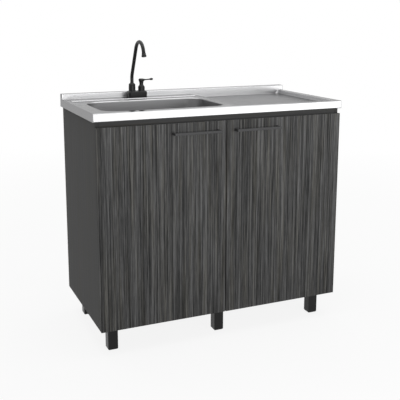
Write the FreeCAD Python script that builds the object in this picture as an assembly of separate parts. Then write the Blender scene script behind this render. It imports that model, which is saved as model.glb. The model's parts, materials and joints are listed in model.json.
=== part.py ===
import FreeCAD, Part
import math
import os

# Kitchen sink unit: a pressed stainless top with one bowl and a drainer, on a two-door base cabinet.
# Frame: +X to the right, +Y to the wall, +Z up. Origin on the floor, in the middle of the unit's outline.
# All sizes are in millimetres.

# ---------------------------------------------------------------- driving dimensions
# Worktop
TOP_WIDTH = 1000.0
TOP_DEPTH = 490.0
DECK_HEIGHT = 890.0
SHEET = 1.0
APRON_HEIGHT = 30.0
REAR_HEM = 2.0
EDGE_RADIUS = 3.0
UPSTAND_HEIGHT = 21.0
UPSTAND_DEPTH = 33.0
COVE_RADIUS = 3.0
# Recess round the bowl, and the drainer
RIM_WIDTH = 17.0
RIGHT_RIM_WIDTH = 26.0
LAND_DROP = 3.5
RECESS_CORNER = 14.0
FAUCET_DECK_DEPTH = 57.0
DRAINER_START = 548.0
DRAINER_SLOPE_RUN = 72.0
DRAINER_DROP = 15.0
# Bowl
BOWL_LEFT = 61.0
BOWL_FRONT = 67.0
BOWL_LENGTH = 477.0
BOWL_WIDTH = 292.0
BOWL_DEPTH = 150.0
BOWL_CORNER = 60.0
BOWL_FLOOR_RADIUS = 25.0
BOWL_LIP_RADIUS = 5.0
# Cabinet boards
BOARD = 15.0
SIDE_OVERHANG = 10.0
PLINTH_HEIGHT = 100.0
BACK_BOARD = 3.0
FRONT_RAIL_HEIGHT = 55.0
REAR_RAIL_DROP = 80.0
BACK_TOP_DROP = 14.0
SERVICE_WIDTH = 260.0
SERVICE_HEIGHT = 240.0
SERVICE_SIDE_STEP = 25.0
WALL_SCREW_RADIUS = 2.75
WALL_SCREW_SPACING = 800.0
WALL_SCREW_DROP = 30.0
# Doors
DOOR_BOARD = 15.0
DOOR_PROUD = 4.0
DOOR_GAP = 2.0
DOOR_MEETING_GAP = 3.0
DOOR_TOP_DROP = 49.0
OPEN_ANGLE = 105.0
BUMPER_RADIUS = 5.0
BUMPER_INSET = 14.0
# Pulls
PULL_LENGTH = 184.0
PULL_PROJECTION = 30.0
PULL_DEPTH = 8.0
PULL_HEIGHT = 9.0
PULL_INSET = 29.0
PULL_DROP = 36.0
PULL_SCREW_RADIUS = 2.0
PULL_SCREW_HEAD = 4.0
PULL_SCREW_BITE = 10.0
# Concealed hinges, measured from the door's outer edge and from its front face
HINGE_INSET = 100.0
AXIS_IN = 5.8
AXIS_BACK = 3.0
ARM_PIN_IN = 25.0
ARM_PIN_BACK = 10.5
LINK_REACH = 8.5
LINK_KNEE_IN = 12.5
LINK_KNEE_BACK = 6.2
LINK_THICKNESS = 2.4
LINK_WIDTH = 7.0
LINK_EYE = 3.0
LINK_TIP = 1.4
PIN_RADIUS = 1.5
PIN_PLAY = 0.06
CUP_RADIUS = 17.5
CUP_DEPTH = 11.5
CUP_WALL = 0.8
CUP_EDGE = 3.0
CUP_FLANGE = 1.0
CUP_FLANGE_MARGIN = 4.5
CUP_FLANGE_WIDTH = 14.0
CUP_SCREW_SPACING = 45.0
PLATE_THICKNESS = 2.5
PLATE_WIDTH = 18.0
PLATE_MARGIN = 7.0
PLATE_SETBACK = 37.0
PLATE_SCREW_SPACING = 32.0
SPINE_HEIGHT = 5.0
SPINE_WIDTH = 9.0
SPINE_LENGTH = 44.0
ARM_WIDTH = 13.0
ARM_DEPTH = 10.5
ARM_WALL = 1.6
ARM_LENGTH = 62.0
ARM_SETBACK = 5.0
SCREW_RADIUS = 1.9
SCREW_HEAD_RADIUS = 3.6
SCREW_HEAD = 1.6
SCREW_BITE = 10.0
# Legs
LEG_SIZE = 38.0
LEG_WALL = 3.0
LEG_SIDE_INSET = 40.0
LEG_FRONT_INSET = 40.0
LEG_REAR_INSET = 50.0
LEG_CHAMFER = 1.0
LEG_PLATE_SIZE = 62.0
LEG_PLATE = 4.0
SPIGOT_HEIGHT = 24.0
LEG_SCREW_INSET = 6.5
# Board fittings
CAM_RADIUS = 7.5
CAM_DEPTH = 11.0
CAM_SETBACK = 34.0
CAM_BOLT_RADIUS = 3.0
CAM_BOLT_BITE = 10.0
CAM_BOLT_GRIP = 4.0
CAM_ROW_INSET = 60.0
TACK_RADIUS = 0.9
TACK_HEAD = 2.6
TACK_HEAD_THICKNESS = 0.6
TACK_BITE = 12.0
TACK_COUNT_ACROSS = 7
TACK_COUNT_UP = 5
# Tap: a common base with a swivel spout on the left and a lever valve on the right
TAP_BASE_LENGTH = 80.0
TAP_BASE_DEPTH = 50.0
TAP_BASE_HEIGHT = 27.0
TAP_BASE_CORNER = 12.0
TAP_BASE_EDGE = 2.5
TAP_LEFT = 261.0
TAP_PITCH = 40.0
TAP_GASKET = 1.5
TURRET_RADIUS = 13.8
TURRET_TOP = 50.0
COLLAR_HEIGHT = 9.0
COLLAR_LIP = 1.0
SPOUT_RADIUS = 6.9
SPOUT_WALL = 1.3
SPOUT_FOOT_RADIUS = 9.0
SPOUT_FOOT_DEPTH = 14.0
SPOUT_BEND_START = 75.8
SPOUT_BEND_RADIUS = 45.0
SPOUT_LEAN = 27.0
SPOUT_STRAIGHT = 115.6
SPOUT_CROOK_RADIUS = 48.7
SPOUT_CROOK_END = 162.0
SPOUT_DROP = 8.0
AERATOR_LENGTH = 14.0
AERATOR_RADIUS = 9.6
VALVE_NECK_RADIUS = 9.5
VALVE_NECK_TOP = 63.0
VALVE_SHOULDER = 6.0
CAP_RADIUS = 12.5
CAP_HEIGHT = 11.5
CAP_EDGE = 2.0
STEM_RADIUS = 4.0
LEVER_RADIUS = 2.4
LEVER_REACH = 50.0
LEVER_TILT = 3.0
LEVER_BALL_RADIUS = 4.7
LEVER_BALL_LENGTH = 13.0
LEVER_SEAT = 5.0
SHANK_RADIUS = 10.5
SHANK_BORE = 7.0
SHANK_LENGTH = 48.0
SHANK_HOLE_PLAY = 0.6
BACKNUT_RADIUS = 17.0
BACKNUT_HEIGHT = 8.0
BACKNUT_FLAT_COUNT = 6
TAP_WASHER_RADIUS = 19.0
TAP_WASHER = 2.5
# Basket strainer and trap
FLANGE_RADIUS = 57.0
FLANGE = 2.0
STRAINER_RADIUS = 43.0
STRAINER_WALL = 2.0
STRAINER_DEPTH = 44.0
NECK_RADIUS = 24.0
NECK_LENGTH = 22.0
BASKET_LIP = 1.2
BASKET_WALL = 1.0
BASKET_HEIGHT = 34.0
BASKET_TAPER = 6.0
BASKET_POST_RADIUS = 3.0
BASKET_KNOB_RADIUS = 7.0
BASKET_KNOB_HEIGHT = 8.0
BASKET_HOLE_RADIUS = 2.2
BASKET_HOLE_COUNT = 12
STRAINER_GASKET = 3.0
LOCKNUT_RADIUS = 54.0
LOCKNUT_HEIGHT = 9.0
LOCKNUT_LUG_COUNT = 6
PIPE_RADIUS = 20.0
PIPE_WALL = 2.0
SOCKET_WALL = 3.5
SOCKET_LENGTH = 26.0
SLIP_NUT_RADIUS = 29.0
SLIP_NUT_HEIGHT = 18.0
SLIP_NUT_FLAT_COUNT = 8
WASHER_HEIGHT = 4.0
TRAP_BEND_RADIUS = 40.0
TRAP_ELBOW_RADIUS = 30.0
TRAP_RISER = 14.0
OUTLET_HEIGHT = 500.0
OUTLET_CLEARANCE = 5.0
# Clearances
RUNNING = 0.05
FREE = 0.3
SNUG = 0.1
# Reading edges
TOUCHING = 1e-3
PARALLEL = 1e-6

# ---------------------------------------------------------------- stations worked out from them
X = FreeCAD.Vector(1, 0, 0)
Y = FreeCAD.Vector(0, 1, 0)
Z = FreeCAD.Vector(0, 0, 1)
HERE = FreeCAD.Vector(0, 0, 0)

total_depth = TOP_DEPTH + DOOR_PROUD + PULL_PROJECTION
rear = total_depth / 2
top_front = rear - TOP_DEPTH
door_front = top_front - DOOR_PROUD
door_back = door_front + DOOR_BOARD
case_front = door_back + DOOR_GAP
case_rear = rear - BACK_BOARD
top_left = -TOP_WIDTH / 2
top_right = TOP_WIDTH / 2
case_left = top_left + SIDE_OVERHANG
case_right = top_right - SIDE_OVERHANG
inner_left = case_left + BOARD
inner_right = case_right - BOARD
deck = DECK_HEIGHT
upstand_front = rear - UPSTAND_DEPTH
recess_rear = upstand_front - FAUCET_DECK_DEPTH
recess_left = top_left + RIM_WIDTH
recess_front = top_front + RIM_WIDTH
drainer_left = top_left + DRAINER_START
drainer_right = top_right - RIGHT_RIM_WIDTH
bowl_left = top_left + BOWL_LEFT
bowl_front = top_front + BOWL_FRONT
bowl_floor = deck - BOWL_DEPTH
panel_top = deck - LAND_DROP - SHEET
rail_top = deck - DRAINER_DROP - SHEET
rear_rail_low = rail_top - REAR_RAIL_DROP
back_top = rail_top - BACK_TOP_DROP
case_bottom = PLINTH_HEIGHT
floor_top = case_bottom + BOARD
door_top = deck - DOOR_TOP_DROP
drain_x = bowl_left + BOWL_LENGTH / 2
drain_y = bowl_front + BOWL_WIDTH / 2
tap_y = upstand_front - FAUCET_DECK_DEPTH / 2
tap_x = top_left + TAP_LEFT + TAP_BASE_LENGTH / 2
spout_x = tap_x - TAP_PITCH / 2
valve_x = tap_x + TAP_PITCH / 2
tap_floor = deck + TAP_GASKET
neck_bottom = bowl_floor - STRAINER_DEPTH - NECK_LENGTH
trap_top = OUTLET_HEIGHT - TRAP_RISER
riser_y = drain_y + 2 * TRAP_BEND_RADIUS
socket_radius = PIPE_RADIUS + SOCKET_WALL


# ---------------------------------------------------------------- shapes
def vec(x, y, z):
    """A point."""
    return FreeCAD.Vector(x, y, z)


def block(x0, x1, y0, y1, z0, z1):
    """A rectangular block between two corners."""
    return Part.makeBox(x1 - x0, y1 - y0, z1 - z0, vec(x0, y0, z0))


def rod(radius, length, base, axis=Z):
    """A round bar."""
    return Part.makeCylinder(radius, length, base, axis)


def tube(outer, inner, length, base, axis=Z):
    """A round bar with a bore right through."""
    return rod(outer, length, base, axis).cut(rod(inner, length, base, axis))


def turned(outline, x, y, z):
    """A turned piece: the outline's (radius, height) points, spun about a vertical axis."""
    points = [vec(x + r, y, z + h) for r, h in outline]
    face = Part.Face(Part.makePolygon(points + points[:1]))
    return face.revolve(vec(x, y, z), Z, 360)


def prism(points, direction):
    """A flat outline of points, pushed along a direction."""
    return Part.Face(Part.makePolygon(points + points[:1])).extrude(direction)


def fused(shapes):
    """Several overlapping shapes as one solid."""
    return shapes[0].multiFuse(shapes[1:]).removeSplitter()


def is_along(edge, axis):
    """True for a straight edge that is parallel to an axis."""
    if len(edge.Vertexes) < 2 or not isinstance(edge.Curve, Part.Line):
        return False
    return abs(abs(edge.Curve.Direction.dot(axis)) - 1) < PARALLEL


def upright_rounded(shape, radius):
    """The shape with its vertical edges rounded."""
    return shape.makeFillet(radius, [e for e in shape.Edges if is_along(e, Z)])


def edges_at(shape, height):
    """The edges that lie at one height."""
    flat = []
    for edge in shape.Edges:
        low, high = edge.BoundBox.ZMin, edge.BoundBox.ZMax
        if abs(low - height) < TOUCHING and abs(high - height) < TOUCHING:
            flat.append(edge)
    return flat


def mirrored(shape):
    """The same piece on the other side of the unit."""
    return shape.mirror(HERE, X)


def save(name, shape):
    """Write one sub-part."""
    shape.exportStep(os.path.join("parts", name + ".step"))


# ---------------------------------------------------------------- worktop
def bowl_space(grow):
    """The hollow of the bowl, swollen by a wall's thickness, open above the deck."""
    space = block(
        bowl_left - grow, bowl_left + BOWL_LENGTH + grow,
        bowl_front - grow, bowl_front + BOWL_WIDTH + grow,
        bowl_floor - grow, deck + UPSTAND_HEIGHT,
    )
    space = upright_rounded(space, BOWL_CORNER + grow)
    return space.makeFillet(BOWL_FLOOR_RADIUS + grow, edges_at(space, bowl_floor - grow))


def recess_space(grow):
    """The shallow recess round the bowl, swollen by a wall's thickness."""
    space = block(
        recess_left - grow, drainer_left + DRAINER_SLOPE_RUN,
        recess_front - grow, recess_rear + grow,
        deck - LAND_DROP - grow, deck + UPSTAND_HEIGHT,
    )
    return upright_rounded(space, RECESS_CORNER + grow)


def drainer_space(grow):
    """The drainer's tray: a short slope down from the bowl, then a flat floor, swollen by a wall."""
    low = recess_front - grow
    high = deck + 2 * UPSTAND_HEIGHT
    land = deck - LAND_DROP - grow
    floor = deck - DRAINER_DROP - grow
    side = [
        vec(drainer_left - grow, low, high),
        vec(drainer_left - grow, low, land),
        vec(drainer_left + DRAINER_SLOPE_RUN, low, floor),
        vec(drainer_right + grow, low, floor),
        vec(drainer_right + grow, low, high),
    ]
    space = prism(side, vec(0, upstand_front + grow - low, 0))
    slope_end = drainer_left + DRAINER_SLOPE_RUN
    corners = [e for e in space.Edges if is_along(e, Z) and e.BoundBox.XMin > slope_end]
    return space.makeFillet(RECESS_CORNER + grow, corners)


def top_mass(grow):
    """Everything under the worktop's surface, drawn in by a wall's thickness."""
    bottom = bowl_floor - BOWL_DEPTH
    slab = block(top_left + grow, top_right - grow, top_front + grow, rear - grow, bottom, deck - grow)
    ledge = block(
        top_left + grow, top_right - grow, upstand_front + grow, rear - grow,
        bottom, deck + UPSTAND_HEIGHT - grow,
    )
    mass = fused([slab, ledge])
    foot = [
        e for e in edges_at(mass, deck - grow)
        if is_along(e, X) and abs(e.BoundBox.YMin - upstand_front - grow) < TOUCHING
    ]
    mass = mass.makeFillet(COVE_RADIUS + grow, foot)
    brow = [e for e in edges_at(mass, deck + UPSTAND_HEIGHT - grow) if is_along(e, X)]
    rim = edges_at(mass, deck - grow)
    lip = [e for e in rim if is_along(e, X) and e.BoundBox.YMin < top_front + 2 * SHEET]
    mass = mass.makeFillet(EDGE_RADIUS - grow, brow + lip)
    mass = mass.cut(recess_space(grow)).cut(drainer_space(grow)).cut(bowl_space(grow))
    mouth = [
        e for e in edges_at(mass, deck - LAND_DROP - grow)
        if e.BoundBox.YMin > bowl_front - 2 * SHEET and e.BoundBox.YMax < bowl_front + BOWL_WIDTH + 2 * SHEET
        and e.BoundBox.XMin > bowl_left - 2 * SHEET and e.BoundBox.XMax < bowl_left + BOWL_LENGTH + 2 * SHEET
    ]
    return mass.makeFillet(BOWL_LIP_RADIUS - grow, mouth)


def sink_top():
    """The pressed top: one sheet with its apron, rim, bowl, drainer and rear upstand."""
    sheet = top_mass(0).cut(top_mass(SHEET))
    below = bowl_floor - 2 * BOWL_DEPTH
    margin = 2 * BOWL_LIP_RADIUS
    bowl_zone = block(
        bowl_left - margin, bowl_left + BOWL_LENGTH + margin,
        bowl_front - margin, bowl_front + BOWL_WIDTH + margin, below, deck,
    )
    apron_zone = block(top_left, top_right, top_front, rear, deck - APRON_HEIGHT, deck + UPSTAND_HEIGHT)
    rear_open = block(
        top_left + SHEET, top_right - SHEET, rear - 2 * SHEET, rear, below, deck - REAR_HEM,
    )
    sheet = sheet.common(fused([bowl_zone, apron_zone])).cut(rear_open)
    tap_hole = rod(SHANK_RADIUS + SHANK_HOLE_PLAY, 3 * SHEET, vec(tap_x, tap_y, deck - 2 * SHEET))
    drain_hole = rod(STRAINER_RADIUS + SNUG, 3 * SHEET, vec(drain_x, drain_y, bowl_floor - 2 * SHEET))
    return sheet.cut(tap_hole).cut(drain_hole)


# ---------------------------------------------------------------- cabinet boards
def cam_places(low, high, count):
    """Stations of a row of fittings between two ends."""
    first = low + CAM_ROW_INSET
    step = (high - low - 2 * CAM_ROW_INSET) / (count - 1)
    return [first + step * i for i in range(count)]


def board_joints():
    """Where boards meet a side panel: each fitting's depth line, its height and the way its cam opens."""
    bottom = [(y, (case_bottom + floor_top) / 2, vec(0, 0, 1)) for y in cam_places(case_front, case_rear, 3)]
    rail_mid = rail_top - FRONT_RAIL_HEIGHT / 2
    front = [(case_front + BOARD / 2, rail_mid, vec(0, 1, 0))]
    back = [(case_rear - BOARD / 2, (rear_rail_low + rail_top) / 2, vec(0, -1, 0))]
    return bottom + front + back


def cam_body(y, z, opening, play):
    """The space of one cam drum in a left-hand board end; play widens it to its bore."""
    face = vec(inner_left + CAM_SETBACK, y, z) + opening * (BOARD / 2)
    return rod(CAM_RADIUS + play, CAM_DEPTH, face - opening * CAM_DEPTH, opening)


def cam_bolt(y, z, play):
    """The bolt that runs from a left-hand side panel into its cam; play widens it to its bore."""
    length = CAM_BOLT_BITE + CAM_SETBACK - CAM_RADIUS + CAM_BOLT_GRIP
    return rod(CAM_BOLT_RADIUS + play, length + play, vec(inner_left - CAM_BOLT_BITE, y, z), X)


def both_sides(shapes):
    """The shapes and their mirror images."""
    return shapes + [mirrored(s) for s in shapes]


def fitting_bores():
    """All cam and bolt bores, on both sides."""
    bores = []
    for y, z, opening in board_joints():
        bores.append(cam_body(y, z, opening, SNUG))
        bores.append(cam_bolt(y, z, SNUG))
    return both_sides(bores)


def without(shape, tools):
    """The shape with every tool cut out of it."""
    return shape.cut(Part.makeCompound(tools))


def wall_screw_holes():
    """The two holes for the screws that hold the unit to a wall."""
    height = rail_top - WALL_SCREW_DROP
    start = case_rear - 2 * BOARD
    return [
        rod(WALL_SCREW_RADIUS, 3 * BOARD, vec(side * WALL_SCREW_SPACING / 2, start, height), Y)
        for side in (-1, 1)
    ]


def side_panel():
    """The left side panel."""
    panel = block(case_left, inner_left, case_front, case_rear, case_bottom, panel_top)
    return without(panel, fitting_bores() + plate_screws(SNUG) + tacks(SNUG))


def bottom_panel():
    """The cabinet's floor, between the side panels."""
    panel = block(inner_left, inner_right, case_front, case_rear, case_bottom, floor_top)
    return without(panel, fitting_bores() + leg_screws(SNUG) + tacks(SNUG))


def top_rail(y0, y1, low, high):
    """A rail on edge between the side panels."""
    rail = block(inner_left, inner_right, y0, y1, low, high)
    return without(rail, fitting_bores() + wall_screw_holes() + tacks(SNUG))


def service_cutout():
    """The opening in the back board for the waste and the supply."""
    low = OUTLET_HEIGHT - SERVICE_HEIGHT / 2
    middle = drain_x + SERVICE_SIDE_STEP
    return block(
        middle - SERVICE_WIDTH / 2, middle + SERVICE_WIDTH / 2,
        case_rear - BOARD, rear + BOARD, low, low + SERVICE_HEIGHT,
    )


def back_board():
    """The thin back board, with its service opening."""
    board = block(case_left, case_right, case_rear, rear, case_bottom, back_top)
    return without(board, [service_cutout()] + wall_screw_holes() + tacks(SNUG))


def tack(x, z, play):
    """One tack through the back board, its head let in flush; play widens it to its hole."""
    shaft = rod(TACK_RADIUS + play, TACK_BITE + BACK_BOARD, vec(x, case_rear - TACK_BITE, z), Y)
    return shaft.fuse(rod(TACK_HEAD + play, TACK_HEAD_THICKNESS, vec(x, rear - TACK_HEAD_THICKNESS, z), Y))


def tacks(play):
    """The tacks round the back board's edge."""
    middle = BOARD / 2
    low = case_bottom + middle
    high = back_top - middle
    span = case_right - case_left - BOARD
    across = [case_left + middle + span * i / (TACK_COUNT_ACROSS - 1) for i in range(TACK_COUNT_ACROSS)]
    up = [low + (high - low) * i / (TACK_COUNT_UP - 1) for i in range(1, TACK_COUNT_UP - 1)]
    made = [tack(x, z, play) for x in across for z in (low, high)]
    return made + [tack(x, z, play) for x in (across[0], across[-1]) for z in up]


# ---------------------------------------------------------------- legs
def leg_places():
    """The middle of each leg, by name."""
    half = LEG_SIZE / 2
    columns = {
        "left": case_left + LEG_SIDE_INSET + half,
        "middle": (case_left + case_right) / 2,
        "right": case_right - LEG_SIDE_INSET - half,
    }
    rows = {"front": case_front + LEG_FRONT_INSET + half, "rear": rear - LEG_REAR_INSET - half}
    return {row + "_" + column + "_leg": (x, y) for row, y in rows.items() for column, x in columns.items()}


def leg(x, y):
    """One hollow square leg with a closed foot."""
    half = LEG_SIZE / 2
    outer = block(x - half, x + half, y - half, y + half, 0, case_bottom - LEG_PLATE)
    outer = outer.makeChamfer(LEG_CHAMFER, edges_at(outer, 0))
    bore = half - LEG_WALL
    return outer.cut(block(x - bore, x + bore, y - bore, y + bore, LEG_WALL + LEG_CHAMFER, case_bottom))


def leg_plate(x, y):
    """The plate that a leg's spigot hangs from, screwed under the cabinet's floor."""
    half = LEG_PLATE_SIZE / 2
    plate = upright_rounded(
        block(x - half, x + half, y - half, y + half, case_bottom - LEG_PLATE, case_bottom), LEG_SCREW_INSET
    )
    snug = LEG_SIZE / 2 - LEG_WALL - SNUG
    low = case_bottom - LEG_PLATE - SPIGOT_HEIGHT
    spigot = block(x - snug, x + snug, y - snug, y + snug, low, case_bottom)
    return without(fused([plate, spigot]), leg_screws_at(x, y, SNUG))


def leg_screws_at(x, y, play):
    """The four screws of one leg plate; play widens them to their holes."""
    reach = LEG_PLATE_SIZE / 2 - LEG_SCREW_INSET
    made = []
    for sx in (-1, 1):
        for sy in (-1, 1):
            foot = vec(x + sx * reach, y + sy * reach, case_bottom - LEG_PLATE - SCREW_HEAD)
            shaft = rod(SCREW_RADIUS + play, LEG_PLATE + SCREW_HEAD + SCREW_BITE, foot)
            made.append(shaft if play else shaft.fuse(rod(SCREW_HEAD_RADIUS, SCREW_HEAD, foot)))
    return made


def leg_screws(play):
    """The screws of all the leg plates."""
    return [screw for x, y in leg_places().values() for screw in leg_screws_at(x, y, play)]


# ---------------------------------------------------------------- concealed hinges
def hinge_heights():
    """The height of each hinge on a door."""
    return {"lower": case_bottom + HINGE_INSET, "upper": door_top - HINGE_INSET}


def at_hinge(inward, back, z):
    """A point of the left door's hinge, given from the door's outer edge and front face."""
    return vec(case_left + inward, door_front + back, z)


def link_angles():
    """The directions from the arm's pin to the link's tip, door shut and fully open, and their distance."""
    across = ARM_PIN_IN - AXIS_IN
    back = ARM_PIN_BACK - AXIS_BACK
    shut_turn = math.atan2(back, across) + math.radians(OPEN_ANGLE) / 2
    open_turn = math.atan2(back, across) - math.radians(OPEN_ANGLE) / 2
    shut = (LINK_REACH * math.cos(shut_turn) - across, LINK_REACH * math.sin(shut_turn) - back)
    wide = (LINK_REACH * math.cos(open_turn) - across, LINK_REACH * math.sin(open_turn) - back)
    return math.atan2(shut[1], shut[0]), math.atan2(wide[1], wide[0]) + 2 * math.pi, math.hypot(*shut)


def hinge_link(z):
    """The cranked link between the arm and the cup, with the door shut."""
    shut, _, reach = link_angles()
    low = z - LINK_WIDTH / 2
    pin = at_hinge(ARM_PIN_IN, ARM_PIN_BACK, low)
    tip = pin + vec(reach * math.cos(shut), reach * math.sin(shut), 0)
    knee = at_hinge(LINK_KNEE_IN, LINK_KNEE_BACK, low)
    rounds = ((LINK_EYE, pin), (LINK_TIP, tip), (LINK_THICKNESS / 2, knee))
    pieces = [rod(radius, LINK_WIDTH, place) for radius, place in rounds]
    for start, end in ((pin, knee), (knee, tip)):
        run = end - start
        side = vec(-run.y, run.x, 0)
        side.normalize()
        side = side * (LINK_THICKNESS / 2)
        pieces.append(prism([start + side, end + side, end - side, start - side], Z * LINK_WIDTH))
    return fused(pieces).cut(rod(PIN_RADIUS + PIN_PLAY, LINK_WIDTH, pin))


def hinge_pin(z):
    """The pin through the arm's nose and the link."""
    return rod(PIN_RADIUS, ARM_WIDTH, at_hinge(ARM_PIN_IN, ARM_PIN_BACK, z - ARM_WIDTH / 2))


def hinge_arm(z):
    """The arm: a channel over the plate's spine, with a narrow forked nose that holds the pin."""
    plate_face = BOARD + PLATE_THICKNESS
    gap = DOOR_BOARD + DOOR_GAP
    half = ARM_WIDTH / 2
    body_front = at_hinge(plate_face, gap + ARM_SETBACK, z - half)
    body_rear = at_hinge(plate_face + ARM_DEPTH, gap + ARM_SETBACK + ARM_LENGTH, z + half)
    body = block(body_front.x, body_rear.x, body_front.y, body_rear.y, body_front.z, body_rear.z)
    nose_front = at_hinge(ARM_PIN_IN - LINK_EYE, ARM_PIN_BACK, z - half)
    nose = block(
        nose_front.x, at_hinge(ARM_PIN_IN + LINK_EYE, 0, z).x, nose_front.y,
        body_front.y + ARM_WALL, nose_front.z, nose_front.z + ARM_WIDTH,
    )
    nose_end = rod(LINK_EYE, ARM_WIDTH, at_hinge(ARM_PIN_IN, ARM_PIN_BACK, z - half))
    arm = fused([body, nose, nose_end])
    spine = SPINE_WIDTH / 2 + SNUG
    channel = block(
        body_front.x, body_rear.x - ARM_WALL, body_front.y - ARM_WALL, body_rear.y + ARM_WALL,
        z - spine, z + spine,
    )
    fork_half = LINK_WIDTH / 2 + FREE
    fork = block(
        nose_front.x - ARM_WALL, body_rear.x + ARM_DEPTH, nose_front.y - 2 * LINK_EYE,
        body_front.y + ARM_WALL, z - fork_half, z + fork_half,
    )
    bore = rod(PIN_RADIUS, ARM_WIDTH, at_hinge(ARM_PIN_IN, ARM_PIN_BACK, z - half))
    return arm.cut(channel).cut(fork).cut(bore)


def plate_screw_places(z):
    """The two screws of one mounting plate."""
    setback = DOOR_BOARD + DOOR_GAP + PLATE_SETBACK
    return [at_hinge(BOARD, setback, z + side * PLATE_SCREW_SPACING / 2) for side in (-1, 1)]


def plate_screw(place, play):
    """One screw of a mounting plate; play widens it to its hole."""
    shaft = rod(SCREW_RADIUS + play, SCREW_BITE + PLATE_THICKNESS, place - X * SCREW_BITE, X)
    if play:
        return shaft
    return shaft.fuse(rod(SCREW_HEAD_RADIUS, SCREW_HEAD, place + X * PLATE_THICKNESS, X))


def plate_screws(play):
    """The screws of the left side's mounting plates."""
    return [plate_screw(p, play) for z in hinge_heights().values() for p in plate_screw_places(z)]


def hinge_plate(z):
    """The mounting plate: a cross-piece that takes the screws and a spine that the arm slides over."""
    setback = DOOR_BOARD + DOOR_GAP + PLATE_SETBACK
    height = PLATE_SCREW_SPACING + 2 * PLATE_MARGIN
    low = at_hinge(BOARD, setback - PLATE_WIDTH / 2, z - height / 2)
    cross = block(low.x, low.x + PLATE_THICKNESS, low.y, low.y + PLATE_WIDTH, low.z, low.z + height)
    cross = cross.makeFillet(PLATE_WIDTH / 4, [e for e in cross.Edges if is_along(e, X)])
    foot = at_hinge(BOARD, setback - SPINE_LENGTH / 2, z - SPINE_WIDTH / 2)
    spine = block(
        foot.x, foot.x + PLATE_THICKNESS + SPINE_HEIGHT, foot.y, foot.y + SPINE_LENGTH,
        foot.z, foot.z + SPINE_WIDTH,
    )
    return without(fused([cross, spine]), [plate_screw(p, SNUG) for p in plate_screw_places(z)])


def cup_centre(z):
    """The middle of a hinge cup's mouth, on the door's back face."""
    return at_hinge(CUP_EDGE + CUP_RADIUS, DOOR_BOARD, z)


def cup_screw_places(z):
    """The two screws of one cup."""
    return [cup_centre(z) + Z * (side * CUP_SCREW_SPACING / 2) for side in (-1, 1)]


def cup_screw(place, play):
    """One screw of a cup; play widens it to its hole."""
    shaft = rod(SCREW_RADIUS + play, SCREW_BITE + CUP_FLANGE, place - Y * SCREW_BITE, Y)
    if play:
        return shaft
    return shaft.fuse(rod(SCREW_HEAD_RADIUS, DOOR_GAP - CUP_FLANGE - FREE, place + Y * CUP_FLANGE, Y))


def cup_screws(play):
    """The screws of the left door's cups."""
    return [cup_screw(p, play) for z in hinge_heights().values() for p in cup_screw_places(z)]


def hinge_cup(z):
    """The pressed cup let into the door, with its flange."""
    mouth = cup_centre(z)
    flange_half = CUP_SCREW_SPACING / 2 + CUP_FLANGE_MARGIN
    drum = rod(CUP_RADIUS, CUP_DEPTH, mouth - Y * CUP_DEPTH, Y)
    flange = block(
        mouth.x - CUP_FLANGE_WIDTH / 2, mouth.x + CUP_FLANGE_WIDTH / 2, mouth.y, mouth.y + CUP_FLANGE,
        z - flange_half, z + flange_half,
    )
    flange = flange.makeFillet(CUP_FLANGE_WIDTH / 3, [e for e in flange.Edges if is_along(e, Y)])
    ring = rod(CUP_RADIUS, CUP_FLANGE, mouth, Y)
    hollow = rod(CUP_RADIUS - CUP_WALL, DOOR_BOARD, mouth - Y * (CUP_DEPTH - CUP_WALL), Y)
    cup = fused([drum, flange, ring]).cut(hollow)
    return without(cup, [cup_screw(p, SNUG) for p in cup_screw_places(z)])


# ---------------------------------------------------------------- doors and pulls
def pull_span():
    """The left pull's ends along X."""
    near = -DOOR_MEETING_GAP / 2 - PULL_INSET
    return near - PULL_LENGTH, near


def pull_height():
    """The height of the pulls' middle line."""
    return door_top - PULL_DROP


def pull_feet():
    """The middle of each foot of the left pull, on the door's face."""
    far, near = pull_span()
    return [vec(x, door_front, pull_height()) for x in (far + PULL_DEPTH / 2, near - PULL_DEPTH / 2)]


def pull():
    """The left pull: a square bar bent back to the door at both ends."""
    far, near = pull_span()
    low = pull_height() - PULL_HEIGHT / 2
    high = low + PULL_HEIGHT
    outer = block(far, near, door_front - PULL_PROJECTION, door_front, low, high)
    grip_front = door_front - PULL_PROJECTION
    inner = block(far + PULL_DEPTH, near - PULL_DEPTH, grip_front + PULL_DEPTH, door_front, low, high)
    bridge = outer.cut(inner)
    corners = [e for e in bridge.Edges if is_along(e, Z) and e.BoundBox.YMax < grip_front + SNUG]
    bridge = bridge.makeFillet(PULL_DEPTH / 3, corners)
    return without(bridge, pull_screws(SNUG))


def pull_screws(play):
    """The machine screws that hold the left pull from inside the door; play widens them to their holes."""
    made = []
    for foot in pull_feet():
        shaft = rod(PULL_SCREW_RADIUS + play, DOOR_BOARD + PULL_SCREW_BITE, foot - Y * PULL_SCREW_BITE, Y)
        head = rod(PULL_SCREW_HEAD, DOOR_GAP, foot + Y * DOOR_BOARD, Y)
        made.append(shaft if play else shaft.fuse(head))
    return made


def door():
    """The left door, with its cup bores and screw holes."""
    board = block(case_left, -DOOR_MEETING_GAP / 2, door_front, door_back, case_bottom, door_top)
    mouths = [cup_centre(z) for z in hinge_heights().values()]
    drums = [rod(CUP_RADIUS + SNUG, CUP_DEPTH, mouth - Y * CUP_DEPTH, Y) for mouth in mouths]
    return without(board, drums + cup_screws(SNUG) + pull_screws(SNUG))


def bumpers():
    """The soft dots on the cabinet's front edges that the left door shuts against."""
    edge = -DOOR_MEETING_GAP / 2 - BUMPER_INSET
    heights = (case_bottom + BOARD / 2, door_top - BUMPER_INSET)
    return [rod(BUMPER_RADIUS, DOOR_GAP, vec(edge, door_back, z), Y) for z in heights]


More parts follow.
